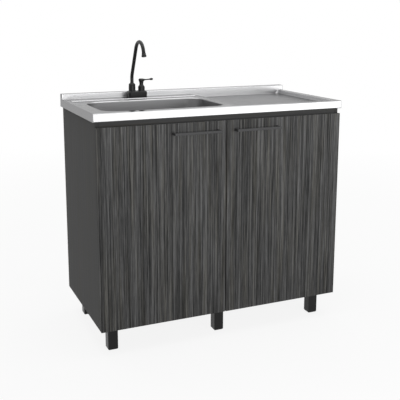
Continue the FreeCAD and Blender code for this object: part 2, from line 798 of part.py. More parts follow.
# ---------------------------------------------------------------- tap
def tap_body():
    """The common base with its two turrets, the valve's neck and the threaded shank below the deck."""
    half = TAP_BASE_LENGTH / 2
    base = block(
        tap_x - half, tap_x + half, tap_y - TAP_BASE_DEPTH / 2, tap_y + TAP_BASE_DEPTH / 2,
        tap_floor, deck + TAP_BASE_HEIGHT,
    )
    base = upright_rounded(base, TAP_BASE_CORNER)
    base = base.makeFillet(TAP_BASE_EDGE, edges_at(base, deck + TAP_BASE_HEIGHT))
    root = deck + TAP_BASE_HEIGHT - TAP_BASE_EDGE
    spout_turret = rod(TURRET_RADIUS, deck + TURRET_TOP - root, vec(spout_x, tap_y, root))
    neck = [
        (0, 0), (TURRET_RADIUS, 0), (TURRET_RADIUS, deck + TURRET_TOP - root),
        (VALVE_NECK_RADIUS, deck + TURRET_TOP + VALVE_SHOULDER - root),
        (VALVE_NECK_RADIUS, deck + VALVE_NECK_TOP - root), (0, deck + VALVE_NECK_TOP - root),
    ]
    valve_turret = turned(neck, valve_x, tap_y, root)
    shank = rod(SHANK_RADIUS, SHANK_LENGTH + TAP_BASE_EDGE, vec(tap_x, tap_y, deck - SHANK_LENGTH))
    body = fused([base, spout_turret, valve_turret, shank])
    way = SPOUT_RADIUS - SPOUT_WALL
    way_height = deck + TAP_BASE_HEIGHT / 2
    waterway = rod(SHANK_BORE, SHANK_LENGTH + TAP_BASE_HEIGHT / 2, vec(tap_x, tap_y, deck - SHANK_LENGTH))
    cross_way = rod(way, TAP_PITCH, vec(spout_x, tap_y, way_height), X)
    socket_floor = deck + TURRET_TOP - SPOUT_FOOT_DEPTH
    socket = rod(SPOUT_FOOT_RADIUS + RUNNING, SPOUT_FOOT_DEPTH, vec(spout_x, tap_y, socket_floor))
    spout_way = rod(way, socket_floor - way_height, vec(spout_x, tap_y, way_height))
    valve_bore = rod(STEM_RADIUS + RUNNING, VALVE_NECK_TOP, vec(valve_x, tap_y, way_height))
    return without(body, [waterway, cross_way, socket, spout_way, valve_bore])


def stem_foot():
    """The height of the valve stem's lower end."""
    return deck + TAP_BASE_HEIGHT


def tap_gasket():
    """The soft gasket between the tap's base and the deck."""
    half = TAP_BASE_LENGTH / 2
    pad = block(
        tap_x - half, tap_x + half, tap_y - TAP_BASE_DEPTH / 2, tap_y + TAP_BASE_DEPTH / 2, deck, tap_floor
    )
    hole = rod(SHANK_RADIUS + SNUG, TAP_GASKET + 2 * SHEET, vec(tap_x, tap_y, deck - SHEET))
    return upright_rounded(pad, TAP_BASE_CORNER).cut(hole)


def spout_collar():
    """The domed collar that holds the spout's foot down."""
    low = deck + TURRET_TOP
    inner = SPOUT_RADIUS + RUNNING
    outline = [
        (inner, 0), (TURRET_RADIUS, 0), (TURRET_RADIUS, COLLAR_HEIGHT / 4),
        (TURRET_RADIUS - COLLAR_HEIGHT / 4, 3 * COLLAR_HEIGHT / 4),
        (SPOUT_RADIUS + COLLAR_LIP, COLLAR_HEIGHT), (inner, COLLAR_HEIGHT),
    ]
    return turned(outline, spout_x, tap_y, low)


def spout_path():
    """The spout's centre line: up, leaning forward, over the crook and down to the outlet."""
    foot = deck + TURRET_TOP - SPOUT_FOOT_DEPTH + SPOUT_WALL
    edges = []
    here = vec(spout_x, tap_y, foot)

    def run(length, angle):
        """A straight run at an angle from upright."""
        turn = math.radians(angle)
        end = here + vec(0, -length * math.sin(turn), length * math.cos(turn))
        edges.append(Part.LineSegment(here, end).toShape())
        return end

    def bend(radius, start, stop):
        """A bend from one angle to another."""
        points = []
        for part in (0.5, 1.0):
            turn = math.radians(start + (stop - start) * part)
            first = math.radians(start)
            across = -radius * (math.cos(first) - math.cos(turn))
            points.append(here + vec(0, across, radius * (math.sin(turn) - math.sin(first))))
        edges.append(Part.Arc(here, points[0], points[1]).toShape())
        return points[1]

    here = run(deck + SPOUT_BEND_START - foot, 0)
    here = bend(SPOUT_BEND_RADIUS, 0, SPOUT_LEAN)
    here = run(SPOUT_STRAIGHT, SPOUT_LEAN)
    here = bend(SPOUT_CROOK_RADIUS, SPOUT_LEAN, SPOUT_CROOK_END)
    here = run(SPOUT_DROP, SPOUT_CROOK_END)
    return Part.Wire(edges), here


def swept(path, radius, start, axis):
    """A round bar along a path."""
    ring = Part.Wire(Part.makeCircle(radius, start, axis))
    return path.makePipeShell([ring], True, False)


def spout_tube():
    """The bent spout with its foot."""
    path, _ = spout_path()
    start = path.Vertexes[0].Point
    outer = swept(path, SPOUT_RADIUS, start, Z)
    foot = rod(SPOUT_FOOT_RADIUS, SPOUT_FOOT_DEPTH - SPOUT_WALL - FREE, start)
    bore = swept(path, SPOUT_RADIUS - SPOUT_WALL, start, Z)
    return outer.fuse(foot).cut(bore)


def aerator():
    """The flared outlet on the spout's end."""
    _, end = spout_path()
    outline = [
        (SPOUT_RADIUS - SPOUT_WALL, 0), (SPOUT_RADIUS, 0), (AERATOR_RADIUS, AERATOR_LENGTH / 2),
        (AERATOR_RADIUS, AERATOR_LENGTH), (SPOUT_RADIUS, AERATOR_LENGTH),
        (SPOUT_RADIUS, AERATOR_LENGTH / 2), (SPOUT_RADIUS - SPOUT_WALL, AERATOR_LENGTH / 2),
    ]
    piece = turned(outline, 0, 0, 0)
    piece.rotate(HERE, X, SPOUT_CROOK_END)
    piece.translate(end)
    return piece


def cap_low():
    """The height of the lever cap's underside."""
    return deck + VALVE_NECK_TOP + FREE


def lever_start():
    """The point on the valve's axis that the lever points away from."""
    return vec(valve_x, tap_y, cap_low() + CAP_HEIGHT / 2)


def along_lever(piece):
    """A piece turned about the vertical at the origin, laid along the lever."""
    piece.rotate(HERE, Y, 90 - LEVER_TILT)
    piece.translate(lever_start())
    return piece


def lever_cap():
    """The cap that turns with the lever."""
    outline = [
        (0, 0), (CAP_RADIUS - CAP_EDGE, 0), (CAP_RADIUS, CAP_EDGE), (CAP_RADIUS, CAP_HEIGHT - CAP_EDGE),
        (CAP_RADIUS - CAP_EDGE, CAP_HEIGHT), (0, CAP_HEIGHT),
    ]
    cap = turned(outline, valve_x, tap_y, cap_low())
    seat = along_lever(rod(LEVER_RADIUS, CAP_RADIUS, vec(0, 0, CAP_RADIUS - LEVER_SEAT)))
    stem_bore = rod(STEM_RADIUS, CAP_HEIGHT / 3, vec(valve_x, tap_y, cap_low()))
    return cap.cut(seat).cut(stem_bore)


def lever():
    """The thin lever with its drop-shaped end."""
    ball = LEVER_REACH - LEVER_BALL_LENGTH
    outline = [
        (0, CAP_RADIUS - LEVER_SEAT), (LEVER_RADIUS, CAP_RADIUS - LEVER_SEAT), (LEVER_RADIUS, ball),
        (LEVER_BALL_RADIUS, ball + LEVER_BALL_LENGTH / 2),
        (LEVER_BALL_RADIUS, ball + 3 * LEVER_BALL_LENGTH / 4), (LEVER_RADIUS, LEVER_REACH), (0, LEVER_REACH),
    ]
    return along_lever(turned(outline, 0, 0, 0))


def valve_stem():
    """The valve's stem, from the base up into the cap."""
    return rod(STEM_RADIUS, cap_low() + CAP_HEIGHT / 3 - stem_foot(), vec(valve_x, tap_y, stem_foot()))


def tap_washer():
    """The washer under the deck."""
    low = deck - SHEET - TAP_WASHER
    return tube(TAP_WASHER_RADIUS, SHANK_RADIUS + SNUG, TAP_WASHER, vec(tap_x, tap_y, low))


def nut(radius, bore, height, flats, base):
    """A faceted nut."""
    points = []
    for i in range(flats):
        turn = 2 * math.pi * i / flats
        points.append(base + vec(radius * math.cos(turn), radius * math.sin(turn), 0))
    return prism(points, Z * height).cut(rod(bore, height, base))


def tap_backnut():
    """The nut that draws the tap down."""
    base = vec(tap_x, tap_y, deck - SHEET - TAP_WASHER - BACKNUT_HEIGHT)
    return nut(BACKNUT_RADIUS, SHANK_RADIUS + SNUG, BACKNUT_HEIGHT, BACKNUT_FLAT_COUNT, base)


# ---------------------------------------------------------------- strainer and trap
def strainer_body():
    """The strainer's flanged cup, with a step for the basket and a spigot below."""
    inner = STRAINER_RADIUS - STRAINER_WALL
    depth = STRAINER_DEPTH
    bore = NECK_RADIUS - STRAINER_WALL
    outline = [
        (bore, -depth - NECK_LENGTH), (NECK_RADIUS, -depth - NECK_LENGTH), (NECK_RADIUS, -depth),
        (STRAINER_RADIUS, -depth), (STRAINER_RADIUS, 0), (FLANGE_RADIUS, 0),
        (FLANGE_RADIUS - FLANGE, FLANGE), (STRAINER_RADIUS + FLANGE, FLANGE),
        (STRAINER_RADIUS + FLANGE, FLANGE / 2), (inner, FLANGE / 2),
        (inner, -depth + STRAINER_WALL), (bore, -depth + STRAINER_WALL),
    ]
    return turned(outline, drain_x, drain_y, bowl_floor)


def strainer_basket():
    """The lift-out basket with its post and knob."""
    seat = FLANGE / 2 + FREE
    lip = STRAINER_RADIUS + FLANGE - FREE
    top = STRAINER_RADIUS - STRAINER_WALL - FREE
    foot = top - BASKET_TAPER
    floor = seat - BASKET_HEIGHT
    knob = seat + BASKET_LIP + BASKET_KNOB_HEIGHT
    outline = [
        (0, floor), (foot, floor), (top, seat), (lip, seat), (lip, seat + BASKET_LIP),
        (top - BASKET_WALL, seat + BASKET_LIP), (foot - BASKET_WALL, floor + BASKET_WALL),
        (BASKET_POST_RADIUS, floor + BASKET_WALL), (BASKET_POST_RADIUS, knob - BASKET_KNOB_HEIGHT),
        (BASKET_KNOB_RADIUS, knob - 3 * BASKET_KNOB_HEIGHT / 4), (BASKET_KNOB_RADIUS, knob), (0, knob),
    ]
    basket = turned(outline, drain_x, drain_y, bowl_floor)
    holes = []
    rings = ((foot / 2, BASKET_HOLE_COUNT // 2), (foot - 2 * BASKET_HOLE_RADIUS, BASKET_HOLE_COUNT))
    for ring, count in rings:
        for i in range(count):
            turn = 2 * math.pi * i / count
            low = bowl_floor + floor - BASKET_WALL
            place = vec(drain_x + ring * math.cos(turn), drain_y + ring * math.sin(turn), low)
            holes.append(rod(BASKET_HOLE_RADIUS, 3 * BASKET_WALL, place))
    return without(basket, holes)


def strainer_gasket():
    """The gasket pressed against the bowl's underside."""
    low = bowl_floor - SHEET - STRAINER_GASKET
    return tube(LOCKNUT_RADIUS, STRAINER_RADIUS + SNUG, STRAINER_GASKET, vec(drain_x, drain_y, low))


def strainer_locknut():
    """The lugged nut that clamps the strainer to the bowl."""
    low = bowl_floor - SHEET - STRAINER_GASKET - LOCKNUT_HEIGHT
    base = vec(drain_x, drain_y, low)
    rim = (LOCKNUT_RADIUS + STRAINER_RADIUS) / 2
    ring = rod(rim, LOCKNUT_HEIGHT, base)
    lugs = []
    for i in range(LOCKNUT_LUG_COUNT):
        lug = block(
            rim - LOCKNUT_HEIGHT, LOCKNUT_RADIUS, -LOCKNUT_HEIGHT / 2, LOCKNUT_HEIGHT / 2, 0, LOCKNUT_HEIGHT
        )
        lug.rotate(HERE, Z, 360 * i / LOCKNUT_LUG_COUNT)
        lug.translate(base)
        lugs.append(lug)
    return fused([ring] + lugs).cut(rod(STRAINER_RADIUS + SNUG, LOCKNUT_HEIGHT, base))


def trap_path():
    """The bend's centre line: down from the bowl, round, and up to the outlet arm."""
    low = trap_top - SOCKET_LENGTH
    first = vec(drain_x, drain_y, low)
    last = vec(drain_x, riser_y, low)
    middle = vec(drain_x, drain_y + TRAP_BEND_RADIUS, low - TRAP_BEND_RADIUS)
    return Part.Wire([Part.Arc(first, middle, last).toShape()]), first


def trap_bend():
    """The water-seal bend, with a socket at each end."""
    path, start = trap_path()
    bend = swept(path, socket_radius, start, Z)
    bore = swept(path, PIPE_RADIUS - PIPE_WALL, start, Z)
    places = [vec(drain_x, y, trap_top - SOCKET_LENGTH) for y in (drain_y, riser_y)]
    for place in places:
        bend = bend.fuse(rod(socket_radius, SOCKET_LENGTH, place))
    bend = bend.cut(bore)
    for place in places:
        bend = bend.cut(rod(PIPE_RADIUS + SNUG, SOCKET_LENGTH, place))
    return bend


def tailpiece():
    """The straight pipe from the strainer's spigot down into the bend's socket."""
    low = trap_top - SOCKET_LENGTH + SNUG
    return tube(PIPE_RADIUS, PIPE_RADIUS - PIPE_WALL, neck_bottom - low, vec(drain_x, drain_y, low))


def trap_arm():
    """The outlet arm: up from the bend, round an elbow and back towards the wall."""
    low = trap_top - SOCKET_LENGTH + SNUG
    turn_start = vec(drain_x, riser_y, OUTLET_HEIGHT)
    start = vec(drain_x, riser_y, low)
    turn_end = turn_start + vec(0, TRAP_ELBOW_RADIUS, TRAP_ELBOW_RADIUS)
    lean = TRAP_ELBOW_RADIUS * (1 - math.sqrt(0.5))
    middle = turn_start + vec(0, lean, TRAP_ELBOW_RADIUS - lean)
    end = vec(drain_x, rear - OUTLET_CLEARANCE, turn_end.z)
    path = Part.Wire([
        Part.LineSegment(start, turn_start).toShape(),
        Part.Arc(turn_start, middle, turn_end).toShape(),
        Part.LineSegment(turn_end, end).toShape(),
    ])
    outer = swept(path, PIPE_RADIUS, start, Z)
    return outer.cut(swept(path, PIPE_RADIUS - PIPE_WALL, start, Z))


def slip_nut(y):
    """A faceted slip nut over one socket, with the pipe passing through its roof."""
    base = vec(drain_x, y, trap_top - SLIP_NUT_HEIGHT + 2 * WASHER_HEIGHT)
    shell = nut(SLIP_NUT_RADIUS, PIPE_RADIUS + SNUG, SLIP_NUT_HEIGHT, SLIP_NUT_FLAT_COUNT, base)
    return shell.cut(rod(socket_radius + SNUG, SLIP_NUT_HEIGHT - WASHER_HEIGHT, base))


def slip_washer(y):
    """The soft ring that a slip nut presses onto the socket's end."""
    return tube(socket_radius, PIPE_RADIUS, WASHER_HEIGHT - SNUG, vec(drain_x, y, trap_top))


def neck_nut():
    """The nut that joins the tailpiece to the strainer's spigot."""
    low = neck_bottom - SLIP_NUT_HEIGHT / 2
    base = vec(drain_x, drain_y, low)
    shell = nut(NECK_RADIUS + 2 * SOCKET_WALL, PIPE_RADIUS + SNUG, SLIP_NUT_HEIGHT, SLIP_NUT_FLAT_COUNT, base)
    return shell.cut(rod(NECK_RADIUS + SNUG, SLIP_NUT_HEIGHT / 2, base + Z * (SLIP_NUT_HEIGHT / 2)))


# ---------------------------------------------------------------- all the sub-parts
def write_parts():
    """Write every sub-part to its own file."""
    os.makedirs("parts", exist_ok=True)
    save("sink_top", sink_top())
    panel = side_panel()
    save("left_side_panel", panel)
    save("right_side_panel", mirrored(panel))
    save("bottom_panel", bottom_panel())
    upstand_top = deck + UPSTAND_HEIGHT - SHEET
    save("front_top_rail", top_rail(case_front, case_front + BOARD, rail_top - FRONT_RAIL_HEIGHT, rail_top))
    save("rear_top_rail", top_rail(case_rear - BOARD, case_rear, rear_rail_low, upstand_top))
    save("back_board", back_board())
    save("cam_locks", Part.makeCompound(both_sides([
        cam_body(y, z, way, 0).cut(cam_bolt(y, z, SNUG)) for y, z, way in board_joints()
    ])))
    save("cam_bolts", Part.makeCompound(both_sides([cam_bolt(y, z, 0) for y, z, _ in board_joints()])))
    save("back_board_tacks", Part.makeCompound(tacks(0)))
    for name, (x, y) in leg_places().items():
        save(name, leg(x, y))
    save("leg_plates", Part.makeCompound([leg_plate(x, y) for x, y in leg_places().values()]))
    save("leg_screws", Part.makeCompound(leg_screws(0)))
    write_side("left", lambda shape: shape)
    write_side("right", mirrored)
    levels = hinge_heights().values()
    save("hinge_plates", Part.makeCompound(both_sides([hinge_plate(z) for z in levels])))
    save("hinge_pins", Part.makeCompound(both_sides([hinge_pin(z) for z in levels])))
    save("hinge_plate_screws", Part.makeCompound(both_sides(plate_screws(0))))
    save("door_bumpers", Part.makeCompound(both_sides(bumpers())))
    save("tap_body", tap_body())
    save("tap_gasket", tap_gasket())
    save("spout_collar", spout_collar())
    save("spout_tube", spout_tube())
    save("aerator", aerator())
    save("lever_cap", lever_cap())
    save("lever", lever())
    save("valve_stem", valve_stem())
    save("tap_washer", tap_washer())
    save("tap_backnut", tap_backnut())
    save("strainer_body", strainer_body())
    save("strainer_basket", strainer_basket())
    save("strainer_gasket", strainer_gasket())
    save("strainer_locknut", strainer_locknut())
    save("tailpiece", tailpiece())
    save("trap_bend", trap_bend())
    save("trap_arm", trap_arm())
    save("trap_slip_nuts", Part.makeCompound([slip_nut(drain_y), slip_nut(riser_y)]))
    save("trap_slip_washers", Part.makeCompound([slip_washer(drain_y), slip_washer(riser_y)]))
    save("strainer_neck_nut", neck_nut())


def write_side(side, placed):
    """Write the door, the pull and the hinges of one side; placed puts a left-hand piece on that side."""
    save(side + "_door", placed(door()))
    save(side + "_pull", placed(pull()))
    save(side + "_pull_screws", Part.makeCompound([placed(s) for s in pull_screws(0)]))
    save(side + "_cup_screws", Part.makeCompound([placed(s) for s in cup_screws(0)]))
    save(side + "_hinge_links", Part.makeCompound([placed(hinge_link(z)) for z in hinge_heights().values()]))
    for level, z in hinge_heights().items():
        save("_".join([level, side, "hinge_cup"]), placed(hinge_cup(z)))
        save("_".join([level, side, "hinge_arm"]), placed(hinge_arm(z)))


write_parts()
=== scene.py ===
"""Kitchen sink unit: the finished pieces and their materials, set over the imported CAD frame."""

from __future__ import annotations

import json
import logging
import math
from dataclasses import dataclass
from enum import Enum
from typing import Any, Callable, Iterable, Sequence

import bmesh
import bpy
from bmesh.types import BMEdge, BMesh, BMFace, BMVert
from bpy.types import Material, Node, NodeSocket, NodeTree, Object
from mathutils import Matrix, Vector


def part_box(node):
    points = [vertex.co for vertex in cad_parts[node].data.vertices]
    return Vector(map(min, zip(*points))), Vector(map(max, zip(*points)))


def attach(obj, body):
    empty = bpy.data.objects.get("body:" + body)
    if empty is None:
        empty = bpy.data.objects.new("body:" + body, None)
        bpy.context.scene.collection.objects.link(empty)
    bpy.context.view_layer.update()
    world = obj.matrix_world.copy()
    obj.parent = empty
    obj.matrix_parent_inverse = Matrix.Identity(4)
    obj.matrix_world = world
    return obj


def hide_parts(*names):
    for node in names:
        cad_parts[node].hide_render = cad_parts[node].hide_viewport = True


logging.basicConfig(level=logging.INFO, format="%(message)s")
LOG = logging.getLogger("sink_unit")

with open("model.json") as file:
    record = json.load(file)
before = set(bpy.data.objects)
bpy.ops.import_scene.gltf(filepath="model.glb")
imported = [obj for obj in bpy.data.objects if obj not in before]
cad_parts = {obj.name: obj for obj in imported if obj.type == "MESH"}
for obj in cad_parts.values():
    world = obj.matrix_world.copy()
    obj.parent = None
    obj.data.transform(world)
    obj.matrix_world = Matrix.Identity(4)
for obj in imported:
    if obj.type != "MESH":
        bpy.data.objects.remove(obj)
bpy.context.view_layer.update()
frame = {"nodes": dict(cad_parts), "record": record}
BODY_OF = {node: body for body, nodes in frame["record"]["behaviour"]["bodies"].items() for node in nodes}

X_AXIS = Vector((1.0, 0.0, 0.0))
Z_AXIS = Vector((0.0, 0.0, 1.0))

# Corners nearer than this, in metres, are one: in the meshes made here, and in the CAD meshes.
JOINED = 1e-6
CAD_JOINED = 1e-5
# Angles in degrees: faces of a CAD mesh that are one flat face, and faces that meet in a crease.
CAD_FLAT = 0.5
CREASE = 50.0
# How much of a face's direction has to lie along an axis for the face to look that way.
FACING = 0.9
# The middle of a noise's values, where most of them lie.
NOISE_SPAN = (0.3, 0.7)
WHITE = (1.0, 1.0, 1.0, 1.0)

EdgeTest = Callable[[Vector, Vector], bool]
Pair = tuple[float, float]
Triple = tuple[float, float, float]


# ---- small tools
def mm(value: float) -> float:
    """Millimetres in metres."""
    return value / 1000.0


def linear(hex_colour: str) -> tuple[float, float, float, float]:
    """Turn an sRGB hex colour into linear light.

    Args:
        hex_colour: Six hex digits, such as "9a9a9c".

    Returns:
        Linear red, green and blue, and an alpha of one.
    """
    channels = []
    for start in (0, 2, 4):
        value = int(hex_colour[start:start + 2], 16) / 255.0
        channels.append(value / 12.92 if value <= 0.04045 else ((value + 0.055) / 1.055) ** 2.4)
    return (channels[0], channels[1], channels[2], 1.0)


def feed(tree: NodeTree, node: Node, inputs: dict[str | int, Any]) -> None:
    """Give a node's inputs plain values, or link the outputs that feed them."""
    for socket, value in inputs.items():
        if isinstance(value, NodeSocket):
            tree.links.new(value, node.inputs[socket])
        else:
            node.inputs[socket].default_value = value


def add_node(
    tree: NodeTree, kind: str, inputs: dict[str | int, Any] | None = None, **settings: Any
) -> Node:
    """Add a node with its settings and links.

    Args:
        tree: The node tree that takes the node.
        kind: The node's type name after "ShaderNode".
        inputs: For each input socket, the output socket that feeds it or a plain value.
        **settings: The node's own properties.

    Returns:
        The new node.
    """
    node = tree.nodes.new("ShaderNode" + kind)
    for name, value in settings.items():
        setattr(node, name, value)
    feed(tree, node, inputs or {})
    return node


def ramp(tree: NodeTree, factor: NodeSocket, stops: Sequence[tuple[float, str]]) -> Any:
    """Add a colour ramp.

    Args:
        tree: The node tree.
        factor: The socket that drives the ramp.
        stops: Positions and sRGB hex colours, from low to high.

    Returns:
        The ramp's colour output.
    """
    node = add_node(tree, "ValToRGB", {"Fac": factor})
    elements = node.color_ramp.elements
    while len(elements) < len(stops):
        elements.new(0.5)
    for element, (position, colour) in zip(elements, stops):
        element.position = position
        element.color = linear(colour)
    return node.outputs["Color"]


def placed(name: str, data: Any) -> Object:
    """Add an object to the scene."""
    made = bpy.data.objects.new(name, data)
    bpy.context.scene.collection.objects.link(made)
    return made


def seen_rays(tree: NodeTree) -> NodeSocket:
    """One for camera, glossy and transmission rays, and none for the rays that light other surfaces."""
    rays = add_node(tree, "LightPath").outputs
    seen = rays["Is Camera Ray"]
    for kind in ("Is Glossy Ray", "Is Transmission Ray"):
        both = add_node(tree, "Math", {0: seen, 1: rays[kind]}, operation="ADD", use_clamp=True)
        seen = both.outputs[0]
    return seen


# ---- finishes
class Grain(Enum):
    """The way a board's grain or a sheet's brushing runs."""

    UPRIGHT = "z"
    ACROSS = "x"

    def stretched(self, across: float, along: float) -> Triple:
        """Pattern scales, in repeats per metre, across and along the grain."""
        return tuple(along if self.value == axis else across for axis in "xyz")


@dataclass(frozen=True)
class Finish:
    """A surface finish: a named material that is made once and then shared."""

    name: str

    def material(self) -> Material:
        """The finish's material, made at its first use."""
        found = bpy.data.materials.get(self.name)
        return found or self.make()

    def make(self) -> Material:
        """Make the material with a principled surface."""
        made = bpy.data.materials.new(self.name)
        made.use_nodes = True
        tree = made.node_tree
        tree.nodes.clear()
        surface = add_node(tree, "BsdfPrincipled")
        add_node(tree, "OutputMaterial", {"Surface": surface.outputs["BSDF"]})
        self.dress(tree, surface)
        return made

    def dress(self, tree: NodeTree, surface: Node) -> None:
        """Set the surface's colour, gloss and relief."""
        raise NotImplementedError

    def noise(
        self, tree: NodeTree, scale: Sequence[float], detail: float = 3.0, rough: float = 0.5
    ) -> NodeSocket:
        """Noise on object coordinates.

        Args:
            tree: The node tree.
            scale: Repeats per metre along each axis.
            detail: How many finer octaves are added.
            rough: How strong the finer octaves are.

        Returns:
            The noise's value, about one half on average.
        """
        place = add_node(tree, "TexCoord").outputs["Object"]
        spread = add_node(tree, "Mapping", {"Vector": place, "Scale": tuple(scale)})
        made = add_node(tree, "TexNoise", {
            "Vector": spread.outputs["Vector"], "Scale": 1.0, "Detail": detail, "Roughness": rough,
        })
        return made.outputs["Fac"]

    def between(self, tree: NodeTree, value: NodeSocket, low: float, high: float) -> Any:
        """Spread the middle of a noise between two values."""
        spread = add_node(tree, "MapRange", {
            "Value": value, "From Min": NOISE_SPAN[0], "From Max": NOISE_SPAN[1],
            "To Min": low, "To Max": high,
        })
        return spread.outputs["Result"]

    def relief(self, tree: NodeTree, height: NodeSocket, depth: float) -> NodeSocket:
        """The surface direction over a relief.

        Args:
            tree: The node tree.
            height: The relief's pattern.
            depth: Its depth in millimetres.

        Returns:
            The socket for the surface's normal.
        """
        bump = add_node(tree, "Bump", {"Height": height, "Distance": mm(depth), "Strength": 1.0})
        return bump.outputs["Normal"]


@dataclass(frozen=True)
class BrushedStainless(Finish):
    """Stainless steel sheet, pressed and satin brushed: pale, with soft streaked reflections."""

    colour: str = "b0b0b1"
    dark: str = "a8a8a9"
    roughness: Pair = (0.14, 0.17)
    edge: str = "c2c2c2"
    grain: Grain = Grain.ACROSS
    streak_width: float = 1.6
    streak_length: float = 160.0
    depth: float = 0.0004

    def dress(self, tree: NodeTree, surface: Node) -> None:
        """A metal whose gloss varies along its brushing; the real scratches are finer, at about 0.1 mm."""
        scale = self.grain.stretched(1000.0 / self.streak_width, 1000.0 / self.streak_length)
        streaks = self.noise(tree, scale, detail=4.0, rough=0.6)
        feed(tree, surface, {
            "Base Color": ramp(tree, streaks, tuple(zip(NOISE_SPAN, (self.dark, self.colour)))),
            "Roughness": self.between(tree, streaks, *self.roughness),
            "Metallic": 1.0, "Specular Tint": linear(self.edge),
            "Normal": self.relief(tree, streaks, self.depth),
        })


@dataclass(frozen=True)
class GrainedMelamine(Finish):
    """Melamine-faced chipboard, printed and embossed: a charcoal wood grain in long straight lines."""

    tones: tuple[str, ...] = ("202020", "3a3a3a", "4b4b4b", "686868")
    grain: Grain = Grain.UPRIGHT
    warm: str = "4e4b40"
    line_width: float = 5.0
    line_length: float = 420.0
    fineness: Pair = (2.4, 6.0)
    fine_share: float = 0.42
    tone_stops: tuple[float, ...] = (0.38, 0.45, 0.52, 0.62)
    patches: Pair = (60.0, 2.5)
    warmth: Pair = (-0.2, 0.32)
    roughness: Pair = (0.62, 0.74)
    specular: float = 0.15
    depth: float = 0.12

    def dress(self, tree: NodeTree, surface: Node) -> None:
        """Broad and fine lines along the grain, with faint warm patches."""
        across, along = 1000.0 / self.line_width, 1000.0 / self.line_length
        finer_across, finer_along = self.fineness
        finer = self.grain.stretched(across * finer_across, along * finer_along)
        broad = self.noise(tree, self.grain.stretched(across, along), detail=2.0, rough=0.55)
        fine = self.noise(tree, finer, rough=0.7)
        blend = add_node(tree, "Mix", {"Factor": self.fine_share, 2: broad, 3: fine}).outputs[0]
        patch = self.noise(tree, self.grain.stretched(*self.patches), detail=1.0)
        shade = add_node(tree, "Mix", {
            "Factor": self.between(tree, patch, *self.warmth),
            6: ramp(tree, blend, tuple(zip(self.tone_stops, self.tones))), 7: linear(self.warm),
        }, data_type="RGBA", blend_type="COLOR")
        feed(tree, surface, {
            "Base Color": shade.outputs[2], "Roughness": self.between(tree, fine, *self.roughness),
            "Specular IOR Level": self.specular, "Normal": self.relief(tree, blend, self.depth),
        })


@dataclass(frozen=True)
class FineCoat(Finish):
    """A thin even coat or moulded skin: one colour with a fine grit in its gloss and relief."""

    colour: str = "1c1c1d"
    lighter: str = "222223"
    roughness: Pair = (0.3, 0.4)
    metallic: float = 0.0
    specular: float = 0.5
    grit: float = 0.8
    patches: float = 14.0
    depth: float = 0.02

    def dress(self, tree: NodeTree, surface: Node) -> None:
        """Fine grit over a broad, faint change of tone; the real grit is about 0.1 mm."""
        fine = self.noise(tree, (1000.0 / self.grit,) * 3, detail=2.0)
        broad = self.noise(tree, (self.patches,) * 3, detail=1.0)
        tone = add_node(tree, "Mix", {"Factor": 0.5, 2: fine, 3: broad}).outputs[0]
        feed(tree, surface, {
            "Base Color": ramp(tree, tone, ((0.35, self.colour), (0.65, self.lighter))),
            "Roughness": self.between(tree, fine, *self.roughness),
            "Metallic": self.metallic, "Specular IOR Level": self.specular,
            "Normal": self.relief(tree, fine, self.depth),
        })


@dataclass(frozen=True)
class StudioFloor(Finish):
    """Painted studio floor, matt and nearly white: it takes a soft shadow and fades into the backdrop."""

    colour: str = "f4f4f4"
    lighter: str = "f6f6f6"
    patches: float = 3.0
    roughness: float = 0.9
    glow: float = 0.88
    near: float = 1.2
    far: float = 4.0

    def dress(self, tree: NodeTree, surface: Node) -> None:
        """Matt paint that the camera and glossy surfaces see lifted towards white."""
        mottle = self.noise(tree, (self.patches,) * 3, detail=1.0)
        feed(tree, surface, {
            "Base Color": ramp(tree, mottle, ((0.4, self.colour), (0.6, self.lighter))),
            "Roughness": self.roughness, "Specular IOR Level": 0.0,
        })
        place = add_node(tree, "TexCoord").outputs["Object"]
        away = add_node(tree, "VectorMath", {0: place}, operation="LENGTH").outputs["Value"]
        fade = add_node(tree, "MapRange", {
            "Value": away, "From Min": self.near, "From Max": self.far, "To Min": self.glow,
        }).outputs["Result"]
        lift = add_node(tree, "Math", {0: seen_rays(tree), 1: fade}, operation="MULTIPLY")
        white = add_node(tree, "Emission", {"Color": WHITE})
        both = add_node(tree, "MixShader", {
            0: lift.outputs[0], 1: surface.outputs["BSDF"], 2: white.outputs["Emission"],
        })
        out = next(node for node in tree.nodes if node.type == "OUTPUT_MATERIAL")
        tree.links.new(both.outputs[0], out.inputs["Surface"])


STAINLESS = BrushedStainless("stainless steel sheet, satin brushed")
# The bowl's copy of the deck's steel has a darker colour: painted shade inside the bowl.
STAINLESS_BOWL_SHADED = BrushedStainless(
    "stainless steel sheet, deep drawn and satin brushed", "a2a2a3", "979798", (0.36, 0.44)
)
# The drainer field's copy of the deck's steel has a darker colour: painted shade on the drainer.
STAINLESS_TRAY_SHADED = BrushedStainless(
    "stainless steel sheet, pressed drainer field", "acacad", "a6a6a7", (0.24, 0.28), edge="bcbcbc"
)
# The step's copy of the steel is rougher, and its colour is lighter than the deck's: painted light on the
# step's upright wall.
STAINLESS_STEP_LIT = BrushedStainless(
    "stainless steel sheet, step left matt by the press", "c8c8c9", "c0c0c1", (0.5, 0.58)
)
